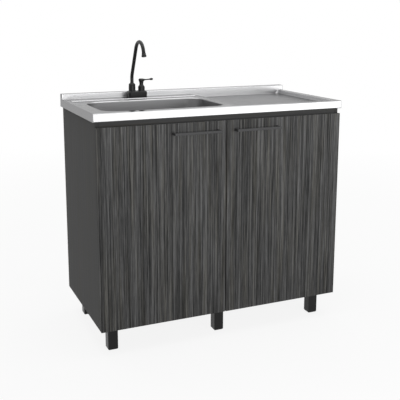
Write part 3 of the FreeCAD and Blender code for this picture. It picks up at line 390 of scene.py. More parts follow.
# The upstand's copy of the steel has a lighter colour than the deck's: painted light on the upstand's face.
STAINLESS_UPSTAND_LIT = BrushedStainless(
    "stainless steel sheet, upstand satin brushed", "bcbcbd", "b4b4b5", (0.28, 0.33)
)
STAINLESS_TURNED = BrushedStainless(
    "stainless steel, pressed and polished", roughness=(0.12, 0.2), streak_width=3.0
)
DOOR_BOARD = GrainedMelamine("melamine board, upright charcoal grain")
SIDE_BOARD = GrainedMelamine(
    "melamine board, upright plain charcoal", ("3a3a3a", "3e3e3e", "424242", "474747")
)
RAIL_BOARD = GrainedMelamine(
    "melamine board, charcoal grain across", ("3f3f3f", "434343", "474747", "4c4c4c"), Grain.ACROSS
)
HARDBOARD = FineCoat(
    "hardboard, pressed and primed", "5a4a3a", "665543", (0.7, 0.85), grit=3.0, depth=0.05
)
TAP_BLACK = FineCoat(
    "brass casting, satin black coating", "121212", "181818", (0.36, 0.44), specular=0.25
)
PULL_BLACK = FineCoat(
    "zinc bar, satin black powder coat", "2f2f30", "363637", (0.38, 0.46), specular=0.36
)
LEG_BLACK = FineCoat(
    "polypropylene, moulded matt black", "1c1c1c", "212121", (0.26, 0.34), specular=0.2, grit=1.2
)
NICKEL = FineCoat(
    "pressed steel, nickel plated", "a8a6a2", "b4b2ae", (0.22, 0.32), metallic=1.0, depth=0.004
)
ZINC = FineCoat("steel screw, zinc plated", "a2a4a6", "b6b8ba", (0.3, 0.42), metallic=1.0, depth=0.01)
DIE_CAST = FineCoat("zinc die casting, bare", "8c8d8f", "9a9b9d", (0.42, 0.55), metallic=1.0)
BRASS = FineCoat("brass, turned", "b08d4a", "bc9a58", (0.25, 0.38), metallic=1.0, depth=0.01)
RUBBER = FineCoat("rubber, moulded black", "1a1a1a", "202020", (0.7, 0.85), specular=0.3)
WHITE_PLASTIC = FineCoat(
    "polypropylene, moulded white", "d8d8d4", "dededa", (0.4, 0.5), grit=2.0, depth=0.01
)
FLOOR = StudioFloor("studio floor, white matt paint")


# ---- mesh tools
def polygon(bm: BMesh, points: Iterable[Sequence[float]]) -> BMFace:
    """Make one flat face from a few corners."""
    return bm.faces.new([bm.verts.new(point) for point in points])


def level_face(bm: BMesh, level: float, plan: Iterable[Pair]) -> BMFace:
    """Make one level face from the places of its corners in plan."""
    return polygon(bm, [(x, y, level) for x, y in plan])


def bevelled(
    bm: BMesh, parts: Iterable[BMEdge | BMVert], radius: float, segments: int = 3, affect: str = "EDGES"
) -> None:
    """Round some edges, or the corners of a flat face.

    Args:
        bm: The mesh.
        parts: The edges or corners to round.
        radius: The rounding's offset in metres.
        segments: The number of steps across it.
        affect: What is rounded, edges or corners.
    """
    bmesh.ops.bevel(
        bm, geom=list(parts), offset=radius, segments=segments, profile=0.5, affect=affect, material=-1,
        clamp_overlap=True,
    )


def chosen(edges: Iterable[BMEdge], test: EdgeTest) -> list[BMEdge]:
    """Those edges whose two ends pass a test."""
    return [edge for edge in edges if test(*(vert.co for vert in edge.verts))]


def on_plane(axis: int, place: float, near: float = JOINED) -> EdgeTest:
    """A test for edges that lie in a plane across an axis."""
    return lambda a, b: abs(a[axis] - place) < near and abs(b[axis] - place) < near


def rises(a: Vector, b: Vector) -> bool:
    """True for an edge that isn't level."""
    return abs(a.z - b.z) > JOINED


def largest_at(bm: BMesh, level: float) -> BMFace:
    """The largest of the faces whose middle is at a level."""
    there = [f for f in bm.faces if abs(f.calc_center_median().z - level) < JOINED]
    return max(there, key=lambda f: f.calc_area())


def creases(bm: BMesh) -> list[BMEdge]:
    """Edges where two faces meet at more than the crease angle."""
    limit = math.radians(CREASE)
    return [e for e in bm.edges if len(e.link_faces) == 2 and e.calc_face_angle(0.0) > limit]


def each_once(items: Iterable[Any]) -> list[Any]:
    """The items in their order, each once."""
    return list(dict.fromkeys(items))


def pushed(bm: BMesh, edges: Sequence[BMEdge], offset: Vector) -> list[BMEdge]:
    """Extrude open edges and move the new ones.

    Args:
        bm: The mesh.
        edges: The edges to extrude.
        offset: How far the new edges move.

    Returns:
        The new outer edges.
    """
    made = bmesh.ops.extrude_edge_only(bm, edges=list(edges))["geom"]
    corners = [g for g in made if isinstance(g, BMVert)]
    bmesh.ops.translate(bm, vec=offset, verts=corners)
    fresh = set(corners)
    return [g for g in made if isinstance(g, BMEdge) and set(g.verts) <= fresh]


def rounded_block(low: Vector, high: Vector, ease: float, corner: float = 0.0, turns: int = 4) -> BMesh:
    """A block with rounded edges.

    Args:
        low: Its lowest corner.
        high: Its highest corner.
        ease: The rounding of every edge, or none.
        corner: A larger rounding of the upright edges, or none.
        turns: The steps across the larger rounding.

    Returns:
        The block's mesh.
    """
    bm = bmesh.new()
    bmesh.ops.create_cube(bm, size=1.0)
    bmesh.ops.scale(bm, vec=high - low, verts=bm.verts)
    bmesh.ops.translate(bm, vec=(low + high) / 2, verts=bm.verts)
    if corner:
        bevelled(bm, chosen(bm.edges, rises), corner, turns)
    if ease:
        bevelled(bm, creases(bm), ease, 2)
    return bm


def lathe(
    outline: Sequence[Pair], foot: Vector, axis: Vector = Z_AXIS, steps: int = 48,
    into: BMesh | None = None,
) -> BMesh:
    """Turn an outline about an axis.

    Args:
        outline: Radius and height pairs in millimetres, from one end to the other.
        foot: The point on the axis that heights count from.
        axis: The axis's direction.
        steps: The number of steps round.
        into: A mesh that takes the turned piece, or none for a new one.

    Returns:
        The mesh with the turned piece.
    """
    bm = bmesh.new()
    corners = [bm.verts.new((mm(radius), 0.0, mm(height))) for radius, height in outline]
    edges = [bm.edges.new(pair) for pair in zip(corners, corners[1:])]
    bmesh.ops.spin(
        bm, geom=corners + edges, cent=(0.0, 0.0, 0.0), axis=Z_AXIS, angle=2 * math.pi, steps=steps,
        use_merge=True,
    )
    bmesh.ops.remove_doubles(bm, verts=bm.verts, dist=JOINED)
    turn = Z_AXIS.rotation_difference(axis.normalized()).to_matrix()
    bmesh.ops.rotate(bm, cent=(0.0, 0.0, 0.0), matrix=turn, verts=bm.verts)
    bmesh.ops.translate(bm, vec=foot, verts=bm.verts)
    return joined(into, bm) if into else bm


def joined(bm: BMesh, other: BMesh) -> BMesh:
    """Put one mesh into another."""
    bmesh.ops.recalc_face_normals(other, faces=other.faces)
    carrier = bpy.data.meshes.new("carrier")
    other.to_mesh(carrier)
    other.free()
    bm.from_mesh(carrier)
    bpy.data.meshes.remove(carrier)
    return bm


def copied(node: str) -> BMesh:
    """A CAD node's mesh as a merged copy, with its flat faces whole again."""
    bm = bmesh.new()
    bm.from_mesh(frame["nodes"][node].data)
    bmesh.ops.remove_doubles(bm, verts=bm.verts, dist=CAD_JOINED)
    bmesh.ops.dissolve_limit(bm, angle_limit=math.radians(CAD_FLAT), verts=bm.verts, edges=bm.edges)
    return bm


def installed(
    name: str, bm: BMesh, finish: Finish, node: str, smooth: float = 35.0, outward: bool = True,
    more: Sequence[Finish] = (),
) -> Object:
    """Put a finished mesh in place of a CAD node.

    Args:
        name: The piece's name.
        bm: Its mesh, in the frame's place; it is freed here.
        finish: Its surface finish.
        node: The CAD node that it replaces, and whose body it takes.
        smooth: The angle in degrees under which neighbouring faces shade as one.
        outward: Whether its faces still need turning outwards.
        more: The finishes of the faces whose material index is one, two and so on.

    Returns:
        The piece's object.
    """
    if outward:
        bmesh.ops.recalc_face_normals(bm, faces=bm.faces)
    data = bpy.data.meshes.new(name)
    bm.to_mesh(data)
    bm.free()
    data.shade_smooth()
    data.set_sharp_from_angle(angle=math.radians(smooth))
    for each in (finish, *more):
        data.materials.append(each.material())
    piece = placed(name, data)
    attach(piece, BODY_OF[node])
    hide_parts(node)
    steady = piece.modifiers.new("steady shading", "WEIGHTED_NORMAL")
    steady.keep_sharp = True
    LOG.info("%s: %d faces on %s", name, len(data.polygons), BODY_OF[node])
    return piece


def carried(finish: Finish, *nodes: str, ease: float = 0.0) -> None:
    """Stand smooth-shaded copies in for CAD nodes.

    Args:
        finish: Their finish.
        *nodes: The CAD nodes' names.
        ease: A rounding in millimetres of the edges of each one's outer box, or none.
    """
    for node in nodes:
        bm = copied(node)
        if ease:
            sides = [on_plane(i, corner[i], CAD_JOINED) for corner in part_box(node) for i in range(3)]
            rim = chosen(bm.edges, lambda a, b: sum(side(a, b) for side in sides) >= 2)
            bevelled(bm, rim, mm(ease), 2)
        installed(node + "_finished", bm, finish, node, outward=False)


# ---- the worktop
class Field(Enum):
    """The fields of the pressed sheet, by the place of their finishes: the bowl's and the drainer's carry
    painted shade, the step's and the upstand's painted light.
    """

    DECK = 0
    BOWL = 1
    TRAY = 2
    STEP = 3
    UPSTAND = 4


@dataclass
class PressedSinkTop:
    """The pressed worktop with its bowl, drainer and rear upstand. Sizes are in millimetres."""

    sheet: float = 1.0
    apron: float = 30.0
    upstand_height: float = 21.0
    upstand_depth: float = 33.0
    rim: float = 17.0
    right_rim: float = 26.0
    tap_ledge: float = 57.0
    land_drop: float = 3.5
    drainer_start: float = 548.0
    slope_run: float = 72.0
    drainer_drop: float = 15.0
    recess_corner: float = 14.0
    bowl_left: float = 61.0
    bowl_front: float = 67.0
    bowl_length: float = 477.0
    bowl_width: float = 292.0
    bowl_depth: float = 150.0
    bowl_corner: float = 60.0
    bowl_corner_steps: int = 12
    bowl_floor_round: float = 25.0
    bowl_lip: float = 5.0
    bowl_lip_steps: int = 5
    lip_round: float = 3.0
    lip_steps: int = 4
    turn_steps: int = 8
    crease_round: float = 1.5
    hem: float = 9.0
    rear_hem: float = 2.0
    drain_radius: float = 43.1

    def __post_init__(self) -> None:
        """Work out the levels and lines of the top in metres."""
        self.low, self.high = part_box("sink_top")
        self.deck = self.high.z - mm(self.upstand_height)
        self.land = self.deck - mm(self.land_drop)
        self.tray = self.deck - mm(self.drainer_drop)
        self.foot = self.high.y - mm(self.upstand_depth)
        self.left = self.low.x + mm(self.rim)
        self.front = self.low.y + mm(self.rim)
        self.back = self.foot - mm(self.tap_ledge)
        self.slope_left = self.low.x + mm(self.drainer_start)
        self.slope_right = self.slope_left + mm(self.slope_run)
        self.right = self.high.x - mm(self.right_rim)
        self.bowl_low = Vector((self.low.x + mm(self.bowl_left), self.low.y + mm(self.bowl_front), self.land))
        self.bowl_size = Vector((mm(self.bowl_length), mm(self.bowl_width), 0.0))
        self.drain = self.bowl_low + self.bowl_size / 2

    def deck_and_steps(self, bm: BMesh) -> None:
        """The flat deck round the recess, and the step down from it."""
        land, tray, front, back, foot = self.land, self.tray, self.front, self.back, self.foot
        left, right = self.slope_left, self.slope_right
        outer = [(self.low.x, self.low.y), (self.high.x, self.low.y), (self.high.x, foot)]
        recess = [
            (self.right, foot), (self.right, front), (right, front), (left, front),
            (self.left, front), (self.left, back), (left, back), (left, foot),
        ]
        deck = level_face(bm, self.deck, [*outer, *recess, (self.low.x, foot)])
        walls = list(deck.edges)[len(outer):len(outer) + len(recess) - 1]
        lower = pushed(bm, walls, Vector((0.0, 0.0, -mm(self.drainer_drop))))
        for vert in each_once(v for edge in lower for v in edge.verts):
            run = (vert.co.x - left) / (right - left)
            vert.co.z = land + (tray - land) * min(max(run, 0.0), 1.0)
        polygon(bm, [
            (left, front, land), (right, front, tray), (right, foot, tray), (left, foot, land),
            (left, back, land),
        ])
        level_face(bm, tray, [(right, front), (self.right, front), (self.right, foot), (right, foot)])

    def upstand(self, bm: BMesh) -> None:
        """The rear upstand: its face, its top and its turned-down back."""
        deck, tray, top = self.deck, self.tray, self.high.z
        face = [
            (self.low.x, deck), (self.slope_left, deck), (self.slope_left, self.land),
            (self.slope_right, tray), (self.right, tray), (self.right, deck),
            (self.high.x, deck), (self.high.x, top), (self.low.x, top),
        ]
        polygon(bm, [(x, self.foot, z) for x, z in face])
        back = pushed(bm, chosen(bm.edges, on_plane(2, top)), Vector((0.0, self.high.y - self.foot, 0.0)))
        pushed(bm, back, Vector((0.0, 0.0, deck - mm(self.rear_hem) - top)))

    def aprons(self, bm: BMesh) -> None:
        """The front and side aprons, with the front one's turned-in hem."""
        low, high, bottom = self.low, self.high, self.deck - mm(self.apron)
        lower = pushed(bm, chosen(bm.edges, on_plane(1, low.y)), Vector((0.0, 0.0, -mm(self.apron))))
        pushed(bm, lower, Vector((0.0, mm(self.hem), 0.0)))
        side = [
            (low.y, self.deck), (self.foot, self.deck), (self.foot, high.z), (high.y, high.z),
            (high.y, self.deck - mm(self.rear_hem)), (high.y, bottom), (low.y, bottom),
        ]
        for x in (low.x, high.x):
            polygon(bm, [(x, y, z) for y, z in side])

    def in_bowl(self, place: Vector) -> bool:
        """True inside the bowl's plan."""
        low, high = self.bowl_low, self.bowl_low + self.bowl_size
        return all(low[i] - JOINED < place[i] < high[i] + JOINED for i in (0, 1))

    def bowl(self, bm: BMesh) -> None:
        """The bowl below its mouth, and the flat land between the mouth and the step."""
        corners = bmesh.ops.create_grid(bm, x_segments=1, y_segments=1, size=0.5)["verts"]
        bmesh.ops.scale(bm, vec=(self.bowl_size.x, self.bowl_size.y, 1.0), verts=corners)
        bmesh.ops.translate(bm, vec=self.drain, verts=corners)
        bevelled(bm, corners, mm(self.bowl_corner), self.bowl_corner_steps, affect="VERTICES")
        mouth = next(f for f in bm.faces if all(self.in_bowl(v.co) for v in f.verts))
        long_sides = chosen(mouth.edges, lambda a, b: abs(a.y - b.y) < JOINED)
        bmesh.ops.bisect_edges(bm, edges=long_sides, cuts=1)
        rim = list(mouth.verts)
        sunk = bmesh.ops.extrude_face_region(bm, geom=[mouth])["geom"]
        floor = next(g for g in sunk if isinstance(g, BMFace))
        bmesh.ops.delete(bm, geom=[f for f in bm.faces if set(f.verts) == set(rim)], context="FACES_ONLY")
        level = self.deck - mm(self.bowl_depth)
        bmesh.ops.translate(bm, vec=(0.0, 0.0, level - self.land), verts=floor.verts)
        self.land_round(bm, rim)
        bevelled(bm, floor.edges, mm(self.bowl_floor_round), self.turn_steps)
        self.drain_hole(bm, level)

    def drain_hole(self, bm: BMesh, level: float) -> None:
        """Open the bowl's floor for the strainer.

        Args:
            bm: The mesh.
            level: The level of the bowl's floor.
        """
        floor = largest_at(bm, level)
        edges = list(floor.edges)
        bmesh.ops.delete(bm, geom=[floor], context="FACES_ONLY")
        ring = bmesh.ops.create_circle(bm, radius=mm(self.drain_radius), segments=len(edges))["verts"]
        bmesh.ops.translate(bm, vec=(self.drain.x, self.drain.y, level), verts=ring)
        bmesh.ops.bridge_loops(bm, edges=edges + each_once(e for v in ring for e in v.link_edges))

    def land_round(self, bm: BMesh, rim: list[BMVert]) -> None:
        """Fill the land between the mouth and the step, as a left and a right half.

        Args:
            bm: The mesh.
            rim: The mouth's corners.
        """
        middle = self.drain
        front = bm.verts.new((middle.x, self.front, self.land))
        back = bm.verts.new((middle.x, self.back, self.land))
        for x, facing in ((self.left, -1.0), (self.slope_left, 1.0)):
            half = sorted(
                (v for v in rim if (v.co.x - middle.x) * facing > -JOINED),
                key=lambda v: math.atan2(v.co.y - middle.y, (v.co.x - middle.x) * facing),
            )
            outer = [bm.verts.new((x, y, self.land)) for y in (self.back, self.front)]
            bm.faces.new([*half, back, *outer, front])

    def split_land_line(self, bm: BMesh) -> None:
        """Put a corner in the step's long edges where the land's halves meet."""
        for line in (self.front, self.back):
            for edge in chosen(chosen(bm.edges, on_plane(2, self.land)), on_plane(1, line)):
                start, end = edge.verts
                share = (self.drain.x - start.co.x) / (end.co.x - start.co.x)
                if 0.0 < share < 1.0:
                    bmesh.utils.edge_split(edge, start, share)

    def build(self) -> None:
        """Make the top and put it in place."""
        bm = bmesh.new()
        self.deck_and_steps(bm)
        bmesh.ops.remove_doubles(bm, verts=bm.verts, dist=JOINED)
        self.split_land_line(bm)
        self.upstand(bm)
        self.aprons(bm)
        self.bowl(bm)
        bmesh.ops.remove_doubles(bm, verts=bm.verts, dist=JOINED)
        bmesh.ops.recalc_face_normals(bm, faces=bm.faces)
        if largest_at(bm, self.deck).normal.z < 0:
            bmesh.ops.reverse_faces(bm, faces=bm.faces)
        for face in bm.faces:
            # Each face takes its field's copy of the steel, with that copy's painted shade or painted light.
            face.material_index = self.field_of(face).value
        self.round_corners(bm)
        piece = installed(
            "pressed_sink_top", bm, STAINLESS, "sink_top", smooth=40.0, outward=False,
            more=(STAINLESS_BOWL_SHADED, STAINLESS_TRAY_SHADED, STAINLESS_STEP_LIT, STAINLESS_UPSTAND_LIT),
        )
        wall = piece.modifiers.new("sheet", "SOLIDIFY")
        wall.thickness = mm(self.sheet)
        wall.offset = -1.0
        piece.modifiers.move(len(piece.modifiers) - 1, 0)

    def field_of(self, face: BMFace) -> Field:
        """The field of the sheet that a face belongs to."""
        middle, facing = face.calc_center_median(), face.normal
        if middle.x < self.slope_left and middle.z < self.deck - mm(self.apron):
            return Field.BOWL
        if self.slope_left < middle.x < self.right - JOINED and middle.z < self.land and facing.z > FACING:
            return Field.TRAY
        if abs(middle.x - self.right) < JOINED and middle.z < self.deck and facing.x < -FACING:
            return Field.STEP
        if abs(middle.y - self.foot) < JOINED and facing.y < -FACING:
            return Field.UPSTAND
        return Field.DECK

    def round_corners(self, bm: BMesh) -> None:
        """Round the recess's corners, the lips of the aprons, the bowl's lip and every other crease."""
        corners = (
            (self.left, self.front), (self.left, self.back),
            (self.right, self.front), (self.right, self.foot),
        )

        def at_corner(a: Vector, b: Vector) -> bool:
            """True for an edge up to the deck at one of the corners."""
            at = any(on_plane(0, x)(a, b) and on_plane(1, y)(a, b) for x, y in corners)
            return at and max(a.z, b.z) < self.deck + JOINED

        bevelled(bm, chosen(bm.edges, at_corner), mm(self.recess_corner), self.turn_steps)
        outer = [on_plane(0, self.low.x), on_plane(0, self.high.x), on_plane(1, self.low.y)]
        outer.append(on_plane(2, self.high.z))
        lips = chosen(creases(bm), lambda a, b: any(side(a, b) for side in outer))
        bevelled(bm, lips, mm(self.lip_round), self.lip_steps)
        mouth = chosen(creases(bm), lambda a, b: self.in_bowl(a) and self.in_bowl(b))
        bevelled(bm, chosen(mouth, on_plane(2, self.land)), mm(self.bowl_lip), self.bowl_lip_steps)
        bevelled(bm, creases(bm), mm(self.crease_round))


# ---- the cabinet
@dataclass
class BaseCabinet:
    """The boards, fittings and legs. Sizes are in millimetres."""

    edge_ease: float = 0.6
    leg_ease: float = 0.6
    leg_corner: float = 2.0
    leg_foot: float = 3.0
    glide_ease: float = 0.5
    glide_inset: float = 2.0
    glide_height: float = 4.5

    def dress(self) -> None:
        """Finish the boards, with their edges just eased, and the fittings."""
        carried(SIDE_BOARD, "left_side_panel", "right_side_panel", ease=self.edge_ease)
        carried(RAIL_BOARD, "bottom_panel", "front_top_rail", "rear_top_rail", ease=self.edge_ease)
        carried(HARDBOARD, "back_board")
        carried(DIE_CAST, "cam_locks")
        carried(ZINC, "cam_bolts", "back_board_tacks", "leg_screws")
        carried(LEG_BLACK, "leg_plates")
        carried(RUBBER, "door_bumpers")
        carried(NICKEL, "hinge_plates", "hinge_pins")
        carried(ZINC, "hinge_plate_screws")

    def leg(self, node: str) -> None:
        """One square leg with eased edges and a set-in glide under it."""
        low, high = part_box(node)
        foot = Vector((0.0, 0.0, mm(self.leg_foot)))
        inset = Vector((mm(self.glide_inset), mm(self.glide_inset), 0.0))
        top = Vector((high.x, high.y, low.z + mm(self.glide_height)))
        bm = rounded_block(low + foot, high, mm(self.leg_ease), mm(self.leg_corner))
        glide = rounded_block(low + inset, top - inset, mm(self.glide_ease))
        installed(node + "_moulded", joined(bm, glide), LEG_BLACK, node)

    def build(self) -> None:
        """Make the cabinet's pieces and put them in place."""
        self.dress()
        for row in ("front", "rear"):
            for column in ("left", "middle", "right"):
                self.leg(f"{row}_{column}_leg")


# ---- doors
class Side(Enum):
    """The side of the unit that a door is hung on."""

    LEFT = "left"
    RIGHT = "right"


@dataclass
class HungDoor:
    """A door with its pull and its hinges. Sizes are in millimetres."""

    side: Side
    edge_ease: float = 0.8
    bar_depth: float = 8.0
    bar_corner: float = 2.6
    bar_corner_steps: int = 5
    bar_elbow: float = 2.6 / 3
    bar_ease: float = 0.7

    def pull(self) -> None:
        """The pull: a flat bar bent back to the door at both ends."""
        name = f"{self.side.value}_pull"
        low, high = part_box(name)
        depth = mm(self.bar_depth)
        inner = low.y + depth
        bm = bmesh.new()
        face = level_face(bm, low.z, [
            (low.x, low.y), (high.x, low.y), (high.x, high.y), (high.x - depth, high.y),
            (high.x - depth, inner), (low.x + depth, inner), (low.x + depth, high.y), (low.x, high.y),
        ])
        grown = bmesh.ops.extrude_face_region(bm, geom=[face], use_keep_orig=True)["geom"]
        raised = [g for g in grown if isinstance(g, BMVert)]
        bmesh.ops.translate(bm, vec=(0.0, 0.0, high.z - low.z), verts=raised)
        bends = chosen(chosen(bm.edges, rises), on_plane(1, low.y))
        bevelled(bm, bends, mm(self.bar_corner), self.bar_corner_steps)
        bevelled(bm, chosen(chosen(bm.edges, rises), on_plane(1, inner)), mm(self.bar_elbow))
        free = chosen(creases(bm), lambda a, b: min(a.y, b.y) < high.y - JOINED)
        bevelled(bm, free, mm(self.bar_ease), 2)
        installed(f"{self.side.value}_bar_pull", bm, PULL_BLACK, name)

    def hinges(self) -> None:
        """Finish the hinges' cups, arms, links and screws."""
        name = self.side.value
        for level in ("lower", "upper"):
            carried(NICKEL, f"{level}_{name}_hinge_cup", f"{level}_{name}_hinge_arm")
        carried(NICKEL, f"{name}_hinge_links")
        carried(ZINC, f"{name}_cup_screws", f"{name}_pull_screws")

    def build(self) -> None:
        """Make the door's pieces and put them in place."""
        carried(DOOR_BOARD, f"{self.side.value}_door", ease=self.edge_ease)
        self.pull()
        self.hinges()


# ---- the tap
@dataclass
class PipeEnd:
    """The open end of a pipe while it is drawn, upright or leaning to the front."""

    bm: BMesh
    edges: list[BMEdge]
    middle: Vector

    @staticmethod
    def direction(angle: float) -> Vector:
        """The pipe's direction at an angle in degrees from upright."""
        turn = math.radians(angle)
        return Vector((0.0, -math.sin(turn), math.cos(turn)))

    def run(self, angle: float, length: float) -> None:
        """Push the end along a straight run.

        Args:
            angle: The run's angle from upright, in degrees.
            length: Its length in metres.
        """
        step = self.direction(angle) * length
        self.edges = pushed(self.bm, self.edges, step)
        self.middle = self.middle + step

    def bend(self, radius: float, start: float, stop: float, steps: int) -> None:
        """Spin the end round a bend.

        Args:
            radius: The bend's radius in millimetres.
            start: The pipe's angle from upright before the bend.
            stop: Its angle after the bend.
            steps: The number of steps.
        """
        turn, angle = math.radians(start), math.radians(stop - start)
        centre = self.middle + Vector((0.0, -math.cos(turn), -math.sin(turn))) * mm(radius)
        corners = each_once(v for edge in self.edges for v in edge.verts)
        made = bmesh.ops.spin(
            self.bm, geom=self.edges + corners, cent=centre, axis=X_AXIS, angle=angle, steps=steps
        )["geom_last"]
        self.edges = [g for g in made if isinstance(g, BMEdge)]
        self.middle = centre + Matrix.Rotation(angle, 3, "X") @ (self.middle - centre)


@dataclass
class SwivelTap:
    """The tap: a base with two turrets, a swivel spout and a lever valve. Sizes are in millimetres."""

    pitch: float = 40.0
    base_height: float = 25.5
    base_corner: float = 12.0
    base_corner_steps: int = 8
    base_top_round: float = 4.0
    base_top_steps: int = 5
    base_foot_round: float = 1.6
    turret_root: float = 23.5
    turret: float = 13.8
    turret_top: float = 50.0
    shank_bore: float = 7.0
    shank: float = 10.5
    shank_low: float = -48.0
    shank_high: float = 2.0
    pipe: float = 6.9
    pipe_sides: int = 28
    pipe_root: float = 38.0
    bend_start: float = 75.8
    bend_radius: float = 45.0
    bend_steps: int = 8
    lean: float = 27.0
    straight: float = 115.6
    crook_radius: float = 48.7
    crook_end: float = 162.0
    crook_steps: int = 36
    drop: float = 8.0
    outlet_length: float = 14.0
    outlet_radius: float = 9.6
    cap_low: float = 61.2
    cap_height: float = 13.6
    cap_radius: float = 11.2
    lever_level: float = 69.05
    lever_tilt: float = 3.0
    lever_reach: float = 50.0
    lever_sides: int = 32

    def __post_init__(self) -> None:
        """Find the tap's place on the deck."""
        self.low, self.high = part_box("tap_gasket")
        middle, level = (self.low + self.high) / 2, self.low.z
        self.foot = Vector((middle.x, middle.y, level))
        self.spout_foot = Vector((middle.x - mm(self.pitch / 2), middle.y, level))
        self.valve_foot = Vector((middle.x + mm(self.pitch / 2), middle.y, level))

    def base(self) -> None:
        """The common base: a rounded block that draws in a little towards its top, and both turrets."""
        seat, top = self.high.z, self.low.z + mm(self.base_height)
        corners = (Vector((self.low.x, self.low.y, seat)), Vector((self.high.x, self.high.y, top)))
        bm = rounded_block(*corners, 0.0, mm(self.base_corner), self.base_corner_steps)
        self.swell(bm, seat, top)
        bevelled(bm, chosen(bm.edges, on_plane(2, top)), mm(self.base_top_round), self.base_top_steps)
        bevelled(bm, chosen(bm.edges, on_plane(2, seat)), mm(self.base_foot_round))
        root, bulge, crown = self.turret_root, self.turret, self.turret_top
        lathe([
            (0.0, root), (bulge + 1.2, root), (bulge + 0.6, root + 3.0), (bulge - 0.2, root + 8.0),
            (bulge, root + 15.0), (bulge - 0.4, crown - 2.0), (bulge - 1.2, crown), (0.0, crown),
        ], self.spout_foot, into=bm)
        lathe([
            (0.0, root), (bulge + 1.0, root), (bulge + 0.2, root + 2.5), (bulge - 0.2, root + 8.0),
            (bulge, root + 15.0), (bulge - 0.5, root + 18.5), (bulge - 1.8, root + 21.2),
            (bulge - 3.8, root + 23.4), (8.8, 48.8), (8.1, 51.0), (7.9, 54.0), (8.0, 57.0), (8.7, 57.8),
            (8.7, 59.6), (7.8, 60.4), (7.8, 62.0), (0.0, 62.0),
        ], self.valve_foot, into=bm)
        lathe([
            (self.shank_bore, self.shank_low), (self.shank, self.shank_low),
            (self.shank, self.shank_high), (self.shank_bore, self.shank_high),
        ], self.foot, into=bm)
        installed("tap_base_cast", bm, TAP_BLACK, "tap_body")

    def swell(self, bm: BMesh, seat: float, top: float) -> None:
        """Give the base's sides a soft swell.

        Args:
            bm: The base's mesh.
            seat: The level of its underside.
            top: The level of its top.
        """
        for share, size in ((0.0, 0.962), (0.22, 0.988), (0.5, 1.0), (0.8, 0.982), (1.0, 0.945)):
            level = seat + share * (top - seat)
            centre = Vector((self.foot.x, self.foot.y, level))
            if 0.0 < share < 1.0:
                whole = [*bm.verts, *bm.edges, *bm.faces]
                bmesh.ops.bisect_plane(bm, geom=whole, plane_co=(0.0, 0.0, level), plane_no=Z_AXIS)
            ring = [v for v in bm.verts if abs(v.co.z - level) < JOINED]
            bmesh.ops.scale(bm, vec=(size, size, 1.0), space=Matrix.Translation(-centre), verts=ring)

    def collar(self) -> None:
        """The domed collar over the spout's foot, with a small bead on it."""
        top, radius, bore = self.turret_top, self.turret, self.pipe + 0.1
        bm = lathe([
            (bore, top), (radius - 1.0, top), (radius - 0.2, top + 0.8), (radius - 0.3, top + 2.2),
            (radius - 1.4, top + 4.2), (radius - 3.2, top + 6.0), (radius - 5.0, top + 7.2),
            (8.4, top + 8.2), (7.9, top + 9.0), (bore, top + 9.0), (bore, top),
        ], self.spout_foot)
        installed("spout_collar_domed", bm, TAP_BLACK, "spout_collar")

    def spout(self) -> None:
        """The bent pipe: an upright foot, a lean forward, the crook and the flared outlet."""
        start = self.low.z + mm(self.pipe_root)
        root = Vector((self.spout_foot.x, self.spout_foot.y, start))
        bm = bmesh.new()
        ring = bmesh.ops.create_circle(bm, radius=mm(self.pipe), segments=self.pipe_sides)["verts"]
        bmesh.ops.translate(bm, vec=root, verts=ring)
        end = PipeEnd(bm, each_once(e for v in ring for e in v.link_edges), root)
        end.run(0.0, self.low.z + mm(self.bend_start) - start)
        end.bend(self.bend_radius, 0.0, self.lean, self.bend_steps)
        end.run(self.lean, mm(self.straight))
        end.bend(self.crook_radius, self.lean, self.crook_end, self.crook_steps)
        end.run(self.crook_end, mm(self.drop))
        installed("spout_pipe_bent", bm, TAP_BLACK, "spout_tube")
        self.outlet(end.middle)

    def outlet(self, end: Vector) -> None:
        """The flared outlet with its beads and its strainer face."""
        length, wide, pipe = self.outlet_length, self.outlet_radius, self.pipe
        bm = lathe([
            (0.0, 3.0), (pipe - 0.6, 3.0), (pipe - 0.6, 0.0), (pipe + 0.1, -0.6), (pipe + 1.1, 0.0),
            (pipe + 1.3, 1.2), (pipe + 0.6, 2.2), (pipe + 0.8, 3.4), (wide - 0.9, 6.4), (wide - 0.1, 8.6),
            (wide, 10.0), (wide, length - 1.0), (wide - 0.5, length), (wide - 1.6, length),
            (wide - 1.9, length - 0.8), (0.0, length - 0.8),
        ], end, PipeEnd.direction(self.crook_end))
        installed("outlet_flared", bm, TAP_BLACK, "aerator")

    def valve(self) -> None:
        """The lever's cap, with a grooved skirt and a domed top, and its stem."""
        low, high, radius = self.cap_low, self.cap_low + self.cap_height, self.cap_radius
        bm = lathe([
            (0.0, low), (radius - 3.2, low), (radius - 2.4, low + 0.5), (radius - 1.2, low + 2.2),
            (radius - 0.4, low + 4.6), (radius - 0.9, low + 5.2), (radius - 0.9, low + 5.8),
            (radius - 0.1, low + 6.4), (radius, high - 3.4), (radius - 0.4, high - 1.7),
            (radius - 1.8, high - 0.5), (radius - 4.0, high), (0.0, high),
        ], self.valve_foot)
        installed("lever_cap_domed", bm, TAP_BLACK, "lever_cap")
        carried(BRASS, "valve_stem")

